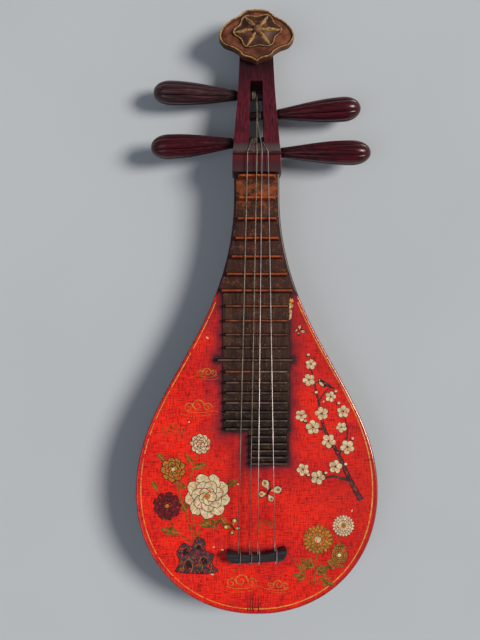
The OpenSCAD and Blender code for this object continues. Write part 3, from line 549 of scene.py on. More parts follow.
# Soundboard: a fine grid, so that dirt and age can be laid on it place by place

FOOT = FRET_T[0] / 2 + PLATE_EDGE
STEP_Y = fret_y(NECK_FRETS + LONG_FRETS) - FOOT
PLATE_SEATS = [(x[0] - PLATE_EDGE, x[1] + PLATE_EDGE, y0, y1) for x, y0, y1 in (
    (LONG_X, STEP_Y, JOINT_Y),
    (SHORT_X, fret_y(FRET_COUNT) - FOOT, STEP_Y),
    (OCTAVE_X, fret_y(OCTAVE_FRET) - FOOT, fret_y(OCTAVE_FRET) + FOOT))]
BRIDGE_SEAT = (-28, 28, BRIDGE_Y - 6, BRIDGE_Y + 5)
# Darkness of the dirt at each edge, and how far it creeps; at the right of the plate it creeps less low down
PLATE_DIRT, LEFT_CREEP, RIGHT_CREEP, RIGHT_CREEP_Y = 0.8, 8.5, (4.2, 6.2), (190, 250)
BRIDGE_DIRT, BRIDGE_CREEP, RIM_DIRT, RIM_CREEP = 0.5, 3, 0.25, 2.2
# How ragged the dirt's edge is, its ripples for each millimetre across and along, and the power of its fall
RAGGED, RIPPLES, CREEP_POWER = 0.9, (0.09, 0.06), 1.15
# Fading and darkening of the red: its share all over, the millimetres to the right that darken it by a full
# share and up the body that fade it by a full share, and what chance and hands add
FADE_ALL, DARKER_RIGHT_MM, FADE_UP_MM, FADE_UP_FROM = 0.14, 550, 1500, 220
FADE_CHANCE, FADE_RIPPLES, FADE_HANDS, HANDS_REACH, FADE_MOST = 0.3, 0.012, 0.3, 24, 0.75
DIRT_SLICE, FADE_SLICE = 3, 8    # slices of the noise that dirt and fading are taken from
BOARD_ROWS, BOARD_COLUMNS, ROW_CROWDING, TAIL_START = 171, 121, 1.15, 0.25


def off_rectangle(x, y, r):
    return math.hypot(max(r[0] - x, 0, x - r[1]), max(r[2] - y, 0, y - r[3]))


def off_plate(x, y):
    return min(off_rectangle(x, y, r) for r in PLATE_SEATS)


def grime_at(x, y):
    """Share of dirt: soot round the fret plate, dust at the bridge and a little along the rim."""
    ragged = 1 + RAGGED * noise.noise(Vector((x * RIPPLES[0], y * RIPPLES[1], DIRT_SLICE)))
    low, high = RIGHT_CREEP_Y
    creep = LEFT_CREEP if x < 0 else lerp(*RIGHT_CREEP, smooth((y - low) / (high - low)))
    plate = PLATE_DIRT * math.exp(-((off_plate(x, y) * ragged / creep) ** CREEP_POWER))
    bridge = BRIDGE_DIRT * math.exp(-off_rectangle(x, y, BRIDGE_SEAT) * ragged / BRIDGE_CREEP)
    rim = RIM_DIRT * math.exp(-max(half_width(y) - abs(x) - BINDING_W, 0) / RIM_CREEP)
    return min(1.0, plate + bridge + rim)


def age_at(x, y):
    """Share of fading and darkening: darker to the right, more faded towards the neck and where hands rest
    beside the plate.
    """
    chance = FADE_CHANCE * noise.noise(Vector((x * FADE_RIPPLES, y * FADE_RIPPLES, FADE_SLICE)))
    handled = FADE_HANDS * math.exp(-off_plate(x, y) / HANDS_REACH)
    higher = max(0, y - FADE_UP_FROM) / FADE_UP_MM
    return clamp(FADE_ALL + x / DARKER_RIGHT_MM + higher + chance + handled, FADE_MOST)


def make_soundboard():
    inner = [(y, x) for x, y in inset_side(BINDING_W + GLUE)]
    first = BINDING_W + GLUE + TAIL_START
    last_row, columns = BOARD_ROWS - 1, BOARD_COLUMNS
    rows = [first + (JOINT_Y - first) * (i / last_row) ** ROW_CROWDING for i in range(BOARD_ROWS)]
    points, faces = [], []
    for y in rows:
        w = lookup(inner, y)
        points += [(w * (2 * k / (columns - 1) - 1), y, BOARD_Z) for k in range(columns)]
    grime = [grime_at(x, y) for x, y, z in points]
    age = [age_at(x, y) for x, y, z in points]
    under = len(points)
    for y in rows:
        w = lookup(inner, y)
        points += [(-w, y, RIM_Z), (w, y, RIM_Z)]
        grime += [1.0, 1.0]
        age += [0.5, 0.5]
    for i in range(last_row):
        low, left = under + 2 * i, i * columns
        right = left + columns - 1
        faces += [[a, a + 1, a + columns + 1, a + columns] for a in range(left, right)]
        faces.append([low, low + 2, low + 3, low + 1])
        faces.append([left, left + columns, low + 2, low])
        faces.append([right, low + 1, low + 3, right + columns])
    last = last_row * columns
    faces.append([under + 1] + list(range(columns - 1, -1, -1)) + [under])
    faces.append([len(points) - 2] + list(range(last, last + columns)) + [len(points) - 1])
    piece("lacquered_soundboard", points, faces, LACQUER, ["soundboard"],
          values={"grime": grime, "age": age})


# Edge binding: a rolled lip, lacquered red round the body and dark along the neck

# The lip from the outside in: slope in degrees, length in millimetres and darkening of each facet, darkest on
# the steep outer facets
LIP = ((84, 0.2, 0.9), (70, 0.2, 0.9), (54, 0.2, 0.9), (40, 0.2, 0.8), (31, 0.35, 0.3), (26, 0.35, 0.05),
       (21, 0.35, 0.05), (16, 0.35, 0.05), (10, 0.3, 0.1))
LIP_FOOT, FOOT_DARKENING, TOP_DIRT = (0.25, 0.3), 0.9, 0.2
RED_PAST_JOINT, DARK_BEFORE_JOINT = 4, 3
# Fading and darkening of the rim: its share in the middle, the millimetres to the right that darken it by a
# full share, and the most
RIM_FADE, RIM_DARKER_RIGHT_MM, RIM_FADE_MOST = 0.3, 300, 0.7


def make_binding():
    facets = [(length * math.cos(math.radians(slope)), length * math.sin(math.radians(slope)), dirt)
              for slope, length, dirt in LIP]
    rise = sum(up for inward, up, dirt in facets)
    profile = [(BINDING_W, RIM_Z), (LIP_FOOT[0], RIM_Z), (0, RIM_Z + LIP_FOOT[1]), (0, BOARD_Z - rise)]
    soil = [FOOT_DARKENING] * len(profile)
    for inward, up, dirt in facets:
        d, z = profile[-1]
        profile.append((d + inward, z + up))
        soil.append(dirt)
    profile.append((BINDING_W, BOARD_Z))
    soil.append(TOP_DIRT)
    lines = [inset_side(d) for d, z in profile]
    stations = list(range(len(SIDE) - 1, 0, -1)) + [0] + [-i for i in range(1, len(SIDE))]

    def strip(name, keep, material, stands_for):
        points = []
        chosen = [s for s in stations if keep(SIDE[abs(s)][1], s)]
        for s in chosen:
            for line, (d, z) in zip(lines, profile):
                x, y = line[abs(s)]
                points.append((x if s >= 0 else -x, y, z))
        faded = [clamp(RIM_FADE + x / RIM_DARKER_RIGHT_MM, RIM_FADE_MOST) for x, y, z in points]
        piece(name, points, loft(len(chosen), len(profile)), material, stands_for, sharp=50,
              values={"grime": soil * len(chosen), "age": faded})

    red_end, dark_start = JOINT_Y + RED_PAST_JOINT, JOINT_Y - DARK_BEFORE_JOINT
    strip("lacquered_rim", lambda y, s: y <= red_end, RIM_LACQUER, ["edge_binding"])
    strip("neck_edge_right", lambda y, s: y >= dark_start and s > 0, NECK_EDGE_WOOD, [])
    strip("neck_edge_left", lambda y, s: y >= dark_start and s < 0, NECK_EDGE_WOOD, [])


# Carved back with its neck, hollow under the soundboard

BACK_STEPS = 44
SHOULDER_LEDGE = 1.1    # the hollow leaves this many widths of the ledge along the shoulders
TAIL_HOLLOW = 1 / 3     # it takes at least this share of the width at the tail


def dome(t):
    return max(0.0, 1 - abs(t) ** ARCH_POWER) ** (1 / ARCH_POWER)


def ease(t):
    return (1 + math.cos(math.pi * clamp(t))) / 2


def make_back():
    cavity_end, blend_y = JOINT_Y - LEDGE_W - NECK_BLOCK, NECK_END - NECK_EVEN
    deep, cavity = BACK_DEPTH + FLAT_CUT, BACK_DEPTH - FLOOR_T
    steps, power = BACK_STEPS, 2 / ARCH_POWER

    def outer(y):
        if y <= BELLY_Y:
            return SIDE_BAND + (deep - SIDE_BAND) * dome(1 - y / BELLY_Y)
        return NECK_DEPTH + (deep - NECK_DEPTH) * ease((y - BELLY_Y) / (blend_y - BELLY_Y))

    def hollow(y):
        if y <= BELLY_Y:
            return dome(min(1, (BELLY_Y - y) / (BELLY_Y - LEDGE_W)))
        return dome(min(1, (y - BELLY_Y) / (cavity_end - BELLY_Y)))

    def hollow_half(y):
        if y <= BELLY_Y:
            return max((BODY_W / 2 - LEDGE_W) * hollow(y), half_width(max(y, 1)) * TAIL_HOLLOW)
        return half_width(y) - SHOULDER_LEDGE * LEDGE_W

    def signed(v):
        return math.copysign(abs(v) ** power, v)

    side = body_side(tail_steps=36, side_steps=44)[1:]
    half_turn = [math.pi * k / steps for k in range(steps + 1)]
    points = []
    for w, y in side:
        points.append((w, y, RIM_Z))
        points += [(w * signed(math.cos(a)), y, max(0, RIM_Z - SIDE_BAND - (outer(y) - SIDE_BAND)
                    * max(0, math.sin(a)) ** power)) for a in half_turn]
        points.append((-w, y, RIM_Z))
        points += [(hollow_half(y) * signed(math.cos(a)), y, RIM_Z - min(cavity, (cavity + CAVITY_OVER)
                    * hollow(y) * max(0, math.sin(a)) ** power)) for a in reversed(half_turn)]
    ring = 2 * steps + 4
    faces = loft(len(side), ring)[1:-1]
    for first, flip in ((0, False), ((len(side) - 1) * ring, True)):
        end = [[0, 1, ring - 1], [steps + 1, steps + 2, steps + 3]]
        end += [[k, k + 1, ring - k - 1, ring - k] for k in range(1, steps + 1)]
        faces += [[first + i for i in (f if flip else f[::-1])] for f in end]
    piece("carved_back", points, faces, BACK_WOOD, ["back_shell"], sharp=50)


# Frets: bars with slightly hollow flanks and a rounded crest

RUBBED_FRETS = {8: LONG_X[1], 9: LONG_X[1], 13: 0}    # the most used frets are orange up to this place
BARE_FLANKS = (1, 2)    # these two lack the dark stain and painted shade of the other frets' flanks
FRET_FOOT_H, FRET_END_EASE, CREST_ROUND = 0.4, 0.25, 0.32
FRET_FLANK = ((0.62, 0.45), (0.86, 0.78))    # shares of the narrowing, each at a share of the height
FRET_STATIONS = [0, 0.004, 0.02] + [k / 12 for k in range(1, 12)] + [0.98, 0.996, 1]
CREST_START, CREST_FADE = 0.78, 0.16    # shares of the height where the crest's colour starts and fades in
CREST_WANDER, WANDER_START = 0.05, 0.8    # millimetres that the crest strays, above this share of the height
# Brightness of the crests: from the first to the last on the neck, where they are rubbed, and the others
NECK_BRIGHT, RUBBED_BRIGHT, BOARD_BRIGHT = (1.0, 0.62), 0.95, (0.35, 0.6)
BARE_SHARE, RUBBED_SHARE = 0.7, 0.35    # how far bare and rubbed flanks take the colour of the crest
PALE_FROM, PALE_OVER, RUBBED_PALE = 2, 14, 0.2    # crests pale from fret to fret, and less where rubbed


def fret_span(n):
    if n <= NECK_FRETS:
        w = half_width(fret_y(n)) - BINDING_W - FRET_END_SLOPE
        return (-w, w)
    if n == OCTAVE_FRET:
        return OCTAVE_X
    return LONG_X if n <= NECK_FRETS + LONG_FRETS else SHORT_X


def fret_profile(foot, crest, height):
    round_r = crest * CREST_ROUND
    half = [(foot / 2, 0.0), (foot / 2, FRET_FOOT_H)]
    half += [(lerp(foot, crest, narrowed) / 2, up * height) for narrowed, up in FRET_FLANK]
    half += [(crest / 2 - round_r * (1 - math.cos(a)), height - round_r + round_r * math.sin(a))
             for a in (0, math.pi / 6, math.pi / 3, math.pi / 2)]
    return half + [(-u, v) for u, v in reversed(half)]


def make_fret(n):
    y, on_neck = fret_y(n), n <= NECK_FRETS
    low = BOARD_Z if on_neck else BOARD_Z + PLATE_T
    height = fret_top(y) - low
    x0, x1 = fret_span(n)
    profile = fret_profile(*(NECK_FRET_T if on_neck else FRET_T), height)
    rng = random.Random(40 + n)
    if on_neck:
        bright = lerp(*NECK_BRIGHT, n / NECK_FRETS)
    else:
        bright = RUBBED_BRIGHT if n in RUBBED_FRETS else rng.uniform(*BOARD_BRIGHT)
    points, shine, pale = [], [], []
    for t in FRET_STATIONS:
        wander = rng.uniform(-CREST_WANDER, CREST_WANDER)
        for u, v in profile:
            rise = v / height
            eased = FRET_END_EASE * rise if t in (0, 1) else 0
            inward = FRET_END_SLOPE * rise + eased
            x = lerp(x0 + inward, x1 - inward, t)
            points.append((x, y + u + wander * (rise > WANDER_START), low + v - eased))
            rubbed = x < RUBBED_FRETS.get(n, x)
            pale.append(smooth((n - PALE_FROM) / PALE_OVER) * (RUBBED_PALE if rubbed else 1.0))
            flank = BARE_SHARE if n in BARE_FLANKS else RUBBED_SHARE if rubbed else 0.0
            # below the crest the flanks keep their dark colour: stain with painted shade
            shine.append(bright * max(flank, smooth((rise - CREST_START) / CREST_FADE)))
    name, material = (f"neck_fret_{n}", NECK_FRET_WOOD) if on_neck else (f"board_fret_{n}", BOARD_FRET_WOOD)
    piece(f"rounded_{name}", points, loft(len(FRET_STATIONS), len(profile)), material, [name],
          sharp=42, values={"crest": shine, "pale": pale})


# Pegs: turned handles cut into lobes by narrow grooves

PEG_SIDES, PEG_STATIONS, TIP_CROWDING, HANDLE_TIP = 144, 64, 1.5, 0.9985
HANDLE_FROM, HANDLE_RUN = 0.008, 0.99    # from just past the collar to just short of the end
SHAFT_CHAMFER = 0.5
COLLAR = ((-0.2, SHAFT_R), (0, HANDLE_NECK_R - 0.7), (0.5, HANDLE_NECK_R - 0.1))    # from the handle's foot
GROOVE_DEPTH, GROOVE_POWER, GROOVE_START, GROOVE_RUN_IN = 1.75, 0.42, 0.03, 0.16
# Darkening of the pegs: dirt on the shaft and in the grooves, and dirt with painted shade at the collar
# beside the cheek
SHAFT_DIRT, COLLAR_DIRT_AND_SHADE, COLLAR_CREEP, GROOVE_DIRT, PEG_DIRT_MOST = 0.6, 0.75, 0.16, 0.55, 0.85
CHEEK_STEPS = 40
CHEEK = ((PEGBOX_W / 2, 0), (PEGBOX_W / 2, CHEEK_BEND[0]), (PEGBOX_TOP_W / 2 + CHEEK_FLARE, CHEEK_BEND[1]),
         (PEGBOX_TOP_W / 2, PEGBOX_LEN))
CHEEK_TABLE = [(y, x) for x, y in (bezier(CHEEK, k / CHEEK_STEPS) for k in range(CHEEK_STEPS + 1))]


def peg_place(i):
    """What takes a point of a peg, with X along its shaft, to its place in the head."""
    turn = math.radians(PEG_RISE[i]) if PEG_SIDE[i] > 0 else math.pi - math.radians(PEG_RISE[i])
    c, s = math.cos(turn), math.sin(turn)
    return lambda x, y, z: head((c * x - s * y, PEG_Y[i] + s * x + c * y, z - PEG_DEPTH))


def slot_half(y):
    low, high = SLOT_Y
    return lerp(*SLOT_W, (y - low) / (high - low)) / 2


def handle_profile(t):
    if t <= HANDLE_FULL:
        swell = math.sin(math.pi / 2 * t / HANDLE_FULL) ** HANDLE_SWELL
        return HANDLE_NECK_R + (HANDLE_R - HANDLE_NECK_R) * swell
    return HANDLE_R * math.sqrt(max(0, 1 - ((t - HANDLE_FULL) / (1 - HANDLE_FULL)) ** HANDLE_END))


def make_peg(i):
    place, around = peg_place(i), full_turn(PEG_SIDES)
    start_x = lookup(CHEEK_TABLE, PEG_Y[i]) + HANDLE_GAP
    step_x = SHAFT_STEP - slot_half(PEG_Y[i])
    tip_x = -slot_half(PEG_Y[i]) - SHAFT_SEAT
    shaft = [(tip_x, SHAFT_END_R - SHAFT_CHAMFER), (tip_x + SHAFT_CHAMFER, SHAFT_END_R),
             (step_x, SHAFT_END_R), (step_x, SHAFT_R)]
    shaft += [(start_x + along, r) for along, r in COLLAR]
    points = [place(x, r * math.cos(a), r * math.sin(a)) for x, r in shaft for a in around]
    grime = [SHAFT_DIRT] * len(points)
    for j in range(1, PEG_STATIONS + 1):
        share = 1 - (1 - j / PEG_STATIONS) ** TIP_CROWDING if j < PEG_STATIONS else HANDLE_TIP
        t = HANDLE_FROM + HANDLE_RUN * share
        depth = GROOVE_DEPTH * smooth((t - GROOVE_START) / GROOVE_RUN_IN)
        for a in around:
            lobe = abs(math.sin(HANDLE_LOBES * a / 2))
            cut = depth * (1 - lobe ** GROOVE_POWER) * handle_profile(t) / HANDLE_R
            r = handle_profile(t) - cut
            points.append(place(start_x + HANDLE_LEN[i] * t, r * math.cos(a), r * math.sin(a)))
            # near the collar the peg darkens with dirt and with painted shade of the cheek
            soil = COLLAR_DIRT_AND_SHADE * math.exp(-t / COLLAR_CREEP) + GROOVE_DIRT * (cut / GROOVE_DEPTH) ** 2
            grime.append(min(PEG_DIRT_MOST, soil))
    # the upper left peg is greyer: dulled polish and a painted reflection
    wood = DULLED_AND_SHEEN_PEG_WOOD if PEGS[i] == "upper_left" else PEG_WOOD
    piece(f"lobed_peg_{PEGS[i]}", points, loft(len(shaft) + PEG_STATIONS, PEG_SIDES), wood,
          [f"peg_{PEGS[i]}"], f"tuner_{PEGS[i]}", sharp=60, values={"grime": grime})


# Strings, from the peg over the nut to the loop tied round the bridge, and their turns on the pegs

STRING_SIDES, TURN_SIDES, TURN_RINGS = 12, 10, 48


def peg_end(s, foot):
    """Where a string that comes from the nut's foot touches its peg."""
    i, r = STRING_PEG[s], SHAFT_R + STRING_D[s] / 2 + STRING_APART
    middle = Vector((PEG_Y[i] + PEG_SIDE[i] * SHAFT_X[s] * math.tan(math.radians(PEG_RISE[i])), -PEG_DEPTH))
    d = Vector(foot) - middle
    turn = -math.acos(r / d.length)
    way = Vector((d.x * math.cos(turn) - d.y * math.sin(turn), d.x * math.sin(turn) + d.y * math.cos(turn)))
    touch = middle + r * way.normalized()
    return (SHAFT_X[s], touch.x, touch.y)


def bridge_point(x, y, z):
    c, s = math.cos(BRIDGE_TURN), math.sin(BRIDGE_TURN)
    return (x * c - y * s, BRIDGE_Y + x * s + y * c, BOARD_Z + z)


def make_string(s):
    off = STRING_D[s] / 2 + STRING_CLEAR
    foot = (NUT_LEN + FOOT_TURN[0] * off, FOOT_TURN[1] * off)
    ridge = (NUT_X[s], NUT_RIDGE_Y, NUT_H + RIDGE_STAND * off)
    x, back, top, side = BRIDGE_X[s], BRIDGE_L[0] / 2, BRIDGE_L[1] / 2, 2 * STRING_D[s]
    high = BRIDGE_H + off
    tie = [(x, back + 1, HOLE_Z), (x, 0, HOLE_Z), (x, -back, HOLE_Z),
           (x + 0.2 * side, -back - 0.8, HOLE_Z + 0.6), (x + 0.4 * side, -back - 0.4, HOLE_Z + 1.8),
           (x + 0.6 * side, -top - 0.8, high), (x + 0.7 * side, -top + 0.4, high + 0.2),
           (x + side, top - 0.4, high + 0.2), (x + side, top + 0.8, high), (x + side, back + 0.4, HOLE_Z + 1)]
    run = [head(p) for p in (peg_end(s, foot), (MOUTH_X[s], *foot), ridge)] + [bridge_point(*p) for p in tie]
    route = run[:4] + through(run[3:], 4)[1:]
    material, slot = (WOUND, "wound_string") if s < 2 else (PLAIN, "plain_string")
    piece(f"taut_string_{s + 1}", tube_rings(route, STRING_D[s] / 2, STRING_SIDES),
          loft(len(route), STRING_SIDES), material, [f"string_{s + 1}"], sharp=80)
    i = STRING_PEG[s]
    place, way, r = peg_place(i), PEG_SIDE[i], SHAFT_R + STRING_D[s] / 2 + STRING_CLEAR
    pitch = STRING_D[s] + TURN_GAP
    turns = []
    for k in range(TURNS * TURN_RINGS + 1):
        a = 2 * math.pi * k / TURN_RINGS
        along = SHAFT_X[s] + WIND_TO[s] * pitch * (1 + k / TURN_RINGS)
        turns.append((way * along, r * math.cos(a), r * math.sin(a)))
    points = [place(*p) for p in tube_rings(turns, STRING_D[s] / 2, TURN_SIDES)]
    piece(f"turns_{PEGS[i]}", points, loft(len(turns), TURN_SIDES), material, [f"winding_{PEGS[i]}"],
          f"tuner_{PEGS[i]}", sharp=80)


# Head plaque and star: carved relief, in the tilted frame of the head

PLAQUE_HALF = ((0, 1), (0.3, 0.94), (0.5, 0.73), (0.73, 0.55), (0.94, 0.25), (1, -0.06), (0.88, -0.34),
               (0.64, -0.48), (0.47, -0.63), (0.36, -0.79), (0.14, -0.88), (0, -1))
PLAQUE_MIDDLE_Y, PLAQUE_INNER = 1.5, 0.2


def make_plaque():
    half = [(x * PLAQUE_W / 2, y * PLAQUE_H / 2) for x, y in through(PLAQUE_HALF, 10)]
    outline = half + [(-x, y) for x, y in reversed(half[1:-1])]
    high, low = PLAQUE_T + BORDER_H, PLAQUE_T
    # Side, raised border, groove and domed field: distance in from the outline, height, gold and dirt
    levels = [(0, 0.0, 0.0, 0.3), (0, low * 0.6, 0.0, 0.3), (0.12, low + 0.6, 0.0, 0.3),
              (0.45, lerp(low, high, 0.78), 0.4, 0.0), (0.85, high, 1.0, 0.0), (1.25, high, 1.0, 0.0),
              (1.6, lerp(low, high, 0.9), 1.0, 0.0), (1.95, lerp(low, high, 0.5), 0.4, 0.0),
              (2.2, low + 0.2, 0.0, 0.7), (2.6, low, 0.0, 0.7), (3.2, low + 0.12, 0.0, 0.7),
              (4.5, low + 0.3, 0.0, 0.0), (7, low + 0.35, 0.0, 0.0), (10, low + 0.2, 0.0, 0.0),
              (13, low, 0.0, 0.0)]
    points, ridge, hollow = [], [], []
    for d, z, gold, dirt in levels:
        for x, y in outline:
            reach = math.hypot(x, y - PLAQUE_MIDDLE_Y)
            t = max(PLAQUE_INNER, 1 - d / reach)
            points.append(head((lerp(0, x, t), PLAQUE_Y + lerp(PLAQUE_MIDDLE_Y, y, t), z)))
        ridge += [gold] * len(outline)
        hollow += [dirt] * len(outline)
    piece("carved_plaque", points, loft(len(levels), len(outline)), PLAQUE_GILT,
          ["head_plaque"], sharp=70, values={"ridge": ridge, "hollow": hollow})


STAR_AROUND, STAR_ACROSS, STAR_MIDDLE = 360, 52, 0.015
PETALS, PETAL_SWELL = 6, 0.1
# Shares of the medallion's reach
RISE_TOP, RAY_INNER, RAY_MIDDLE, RAY_OUTER, RAY_SPAN = 0.26, 0.2, 0.52, 0.92, (0.1, 0.94)
RAY_HALF, RAY_TIP_H = ((RAY_INNER, 2.2), (RAY_MIDDLE, 3.0), (RAY_OUTER, 0.5)), 0.5
RAY_WAYS = [math.atan2(MEDALLION[1] * math.sin(math.pi * k / 3), MEDALLION[0] * math.cos(math.pi * k / 3))
            for k in range(PETALS)]
HAND_CUT = 0.25    # how far the knife strays, as a share of a ray's width and in millimetres of its height
CUT_RIPPLES, CUT_SLICE = 0.3, 5
STAR_LIP, STAR_EDGE_DROP, GILT_H = 0.03, 0.25, 0.5
RIM_GOLD, RIM_GOLD_EDGE, KNOB_GOLD = 0.9, 0.02, 0.3
KNOB_DIRT, KNOB_DIRT_OFF, KNOB_DIRT_W = 0.7, 0.6, 1.2    # a ring of dirt just off the knob
FIELD_DIRT_FROM, FIELD_DIRT_OVER, STAR_DIRT_MOST, STAR_FOOT_DIRT = 0.5, 0.35, 0.5, 0.8


def make_star():
    foot = STAR_T - STAR_RIM_H
    c, s = math.cos(STAR_TURN), math.sin(STAR_TURN)
    rim = 1 - STAR_RIM_W / MEDALLION[1]
    top = foot + STAR_RISE + RAY_H
    crest = ((RAY_INNER, top), (RAY_MIDDLE, top - RAY_H / 2), (RAY_OUTER, foot + RAY_TIP_H))
    points, ridge, hollow = [], [], []

    def ring(share, carved):
        for a in full_turn(STAR_AROUND):
            swell = share * (1 + PETAL_SWELL * math.cos(PETALS * a)) / (1 + PETAL_SWELL)
            x, y = swell * MEDALLION[0] * math.cos(a), swell * MEDALLION[1] * math.sin(a)
            r = math.hypot(x, y)
            stray = HAND_CUT * noise.noise(Vector((x * CUT_RIPPLES, y * CUT_RIPPLES, CUT_SLICE)))
            nearest = min((abs(math.remainder(math.atan2(y, x) - way, 2 * math.pi)) for way in RAY_WAYS))
            aside = r * math.sin(min(nearest, math.pi / 2))
            wide = lookup(RAY_HALF, share) * (1 + stray)
            bed = foot + STAR_RISE * smooth((rim - share) / (rim - RISE_TOP))
            on_ray = max(0.0, 1 - aside / wide) if RAY_SPAN[0] < share < RAY_SPAN[1] else 0.0
            ray = lerp(foot, lookup(crest, share) + stray, on_ray ** 0.5)
            lip = smooth((share - rim) / STAR_LIP)
            knob = math.sqrt(max(0.0, 1 - (r / KNOB_R) ** 2))
            ball = foot + STAR_RISE + KNOB_FLAT * KNOB_R * knob if knob else 0.0
            z = max(lerp(bed, STAR_T, lip), ray, ball) - (STAR_EDGE_DROP if share == 1 else 0)
            points.append(head((STAR_X + x * c - y * s, STAR_Y + x * s + y * c,
                                PLAQUE_T + (z if carved else 0))))
            gold = smooth((ray - bed) / GILT_H) if ray > ball else 0.0
            ridge.append(max(gold, RIM_GOLD * lip * smooth((1 - share) / RIM_GOLD_EDGE), KNOB_GOLD * knob))
            beside_knob = KNOB_DIRT * math.exp(-((r - KNOB_R - KNOB_DIRT_OFF) / KNOB_DIRT_W) ** 2)
            low = smooth((share - FIELD_DIRT_FROM) / FIELD_DIRT_OVER) * (1 - lip) + beside_knob
            hollow.append(min(STAR_DIRT_MOST, low) * (1 - gold) if carved else STAR_FOOT_DIRT)

    ring(1.0, False)
    for j in range(STAR_ACROSS):
        ring(1.0 - (1 - STAR_MIDDLE) * j / (STAR_ACROSS - 1), True)
    piece("carved_star", points, loft(STAR_ACROSS + 1, STAR_AROUND), STAR_GILT,
          ["star_medallion"], sharp=75, values={"ridge": ridge, "hollow": hollow})


# Painted decoration on the lacquer, as thin coats of each colour: flowers at a rock, a plum branch with a
# bird, butterflies and clouds

# Thickness of the paint, rise from coat to coat and reach into the lacquer, in millimetres
PAINT_T, COAT_STEP, UNDER = 0.03, 0.002, 0.02
# Coats from the stems up: leaves lie over the stems in layers of a few coats, and flowers over the leaves
OVER_STEMS, LEAF_COATS, LEAF_LAYERS = 4, 3, 12
OVER_LEAVES = OVER_STEMS + LEAF_COATS * LEAF_LAYERS + 2
UNDER_ALL = -0.5
leaf_levels = itertools.cycle(range(OVER_STEMS, OVER_LEAVES - 2, LEAF_COATS))
coats = {}


def brush(level=0):
    """A brush for one motif: what it lays at one time lies on top of what it laid before."""
    levels = itertools.count(level + 1)

    def lay(colour, *outlines):
        height = PAINT_T + COAT_STEP * next(levels)
        coats.setdefault(colour, []).extend((outline, height) for outline in outlines)
    return lay


def blade(x, y, angle, length, width, fullest=0.6, steps=8):
    """A petal or leaf from its root to its point, widest at the given share of its length."""
    power = math.log(0.5) / math.log(fullest)
    edge = [(length * t / steps, width / 2 * math.sin(math.pi * (t / steps) ** power))
            for t in range(steps + 1)]
    return turned(edge + [(u, -v) for u, v in reversed(edge[1:-1])], x, y, angle)


def blob(x, y, across, along, angle=0.0, ragged=0.0, steps=18):
    """A round or oval dab of paint, with a ragged edge where asked."""
    out = []
    for a in full_turn(steps):
        grow = 1 + ragged * noise.noise(Vector((*out_from(x * 0.3, y * 0.3, 2, a), 1)))
        out.append((grow * across * math.cos(a), grow * along * math.sin(a)))
    return turned(out, x, y, angle)


def stroke(points, width, at_start=1.0, at_end=0.3, steps=6):
    """A brush line along a smooth curve, as wide as the given shares at its ends."""
    line = through(points, steps)
    left, right = [], []
    for i, (p, ahead) in enumerate(zip(line, headings(line))):
        w = width / 2 * lerp(at_start, at_end, i / (len(line) - 1))
        left.append((p[0] - ahead.y * w, p[1] + ahead.x * w))
        right.append((p[0] + ahead.y * w, p[1] - ahead.x * w))
    return right + left[::-1]


def leaf(x, y, angle, length, width, colour, vein):
    lay = brush(next(leaf_levels))
    lay(colour, blade(x, y, angle, length, width, 0.45))
    veins = []
    for k in (0.3, 0.5, 0.7):
        root = out_from(x, y, k * length, angle)
        veins += [stroke([root, out_from(*root, 0.28 * width, angle + side * 0.75)], 0.4) for side in (-1, 1)]
    lay(vein, *veins)
    lay(vein, stroke([(x, y), out_from(x, y, 0.85 * length, angle)], 0.6))


def peony(x, y, size, turn, petal, edge, heart):
    lay = brush(OVER_LEAVES)
    for count, reach, long, wide in ((9, 0.6, 0.42, 0.34), (7, 0.36, 0.34, 0.3), (5, 0.16, 0.24, 0.22)):
        for step in full_turn(count):
            a = turn + reach * 5 + step
            u, v = out_from(x, y, reach * size, a)
            lay(edge, blob(u, v, long * size + 0.35, wide * size + 0.35, a, 0.18))
            lay(petal, blob(u, v, long * size - 0.35, wide * size - 0.35, a, 0.18))
            lay(edge, stroke([(u, v), out_from(u, v, 0.7 * long * size, a)], 0.5, 0.3, 1.0))
    lay(heart, blob(x, y, 0.14 * size, 0.14 * size))


def chrysanthemum(x, y, size, petal, edge, heart):
    lay = brush(OVER_LEAVES)
    for count, reach, shift in ((20, 1.0, 0.0), (16, 0.74, 0.16), (12, 0.5, 0.1)):
        width = 2.6 * size * reach / count + 1.4
        for step in full_turn(count):
            a = shift + step
            lay(edge, blade(x, y, a, size * reach + 0.4, width + 0.7, 0.72))
            lay(petal, blade(*out_from(x, y, 1.2, a), a, size * reach - 1.4, width, 0.72))
    lay(heart, blob(x, y, 0.2 * size, 0.2 * size))


def plum_blossom(x, y, size, turn):
    lay = brush(OVER_LEAVES)
    for step in full_turn(5):
        a = turn + step
        u, v = out_from(x, y, 0.52 * size, a)
        lay(CRIMSON, blob(u, v, 0.46 * size, 0.42 * size, a, 0.1, 14))
        lay(CREAM, blob(u, v, 0.4 * size, 0.36 * size, a, 0.1, 14))
    for step in full_turn(7):
        tip = out_from(x, y, 0.42 * size, turn + 0.2 + step)
        lay(OCHRE, stroke([(x, y), tip], 0.35, 1, 1))
    lay(INK, blob(x, y, 0.12 * size, 0.12 * size, 0, 0, 10))


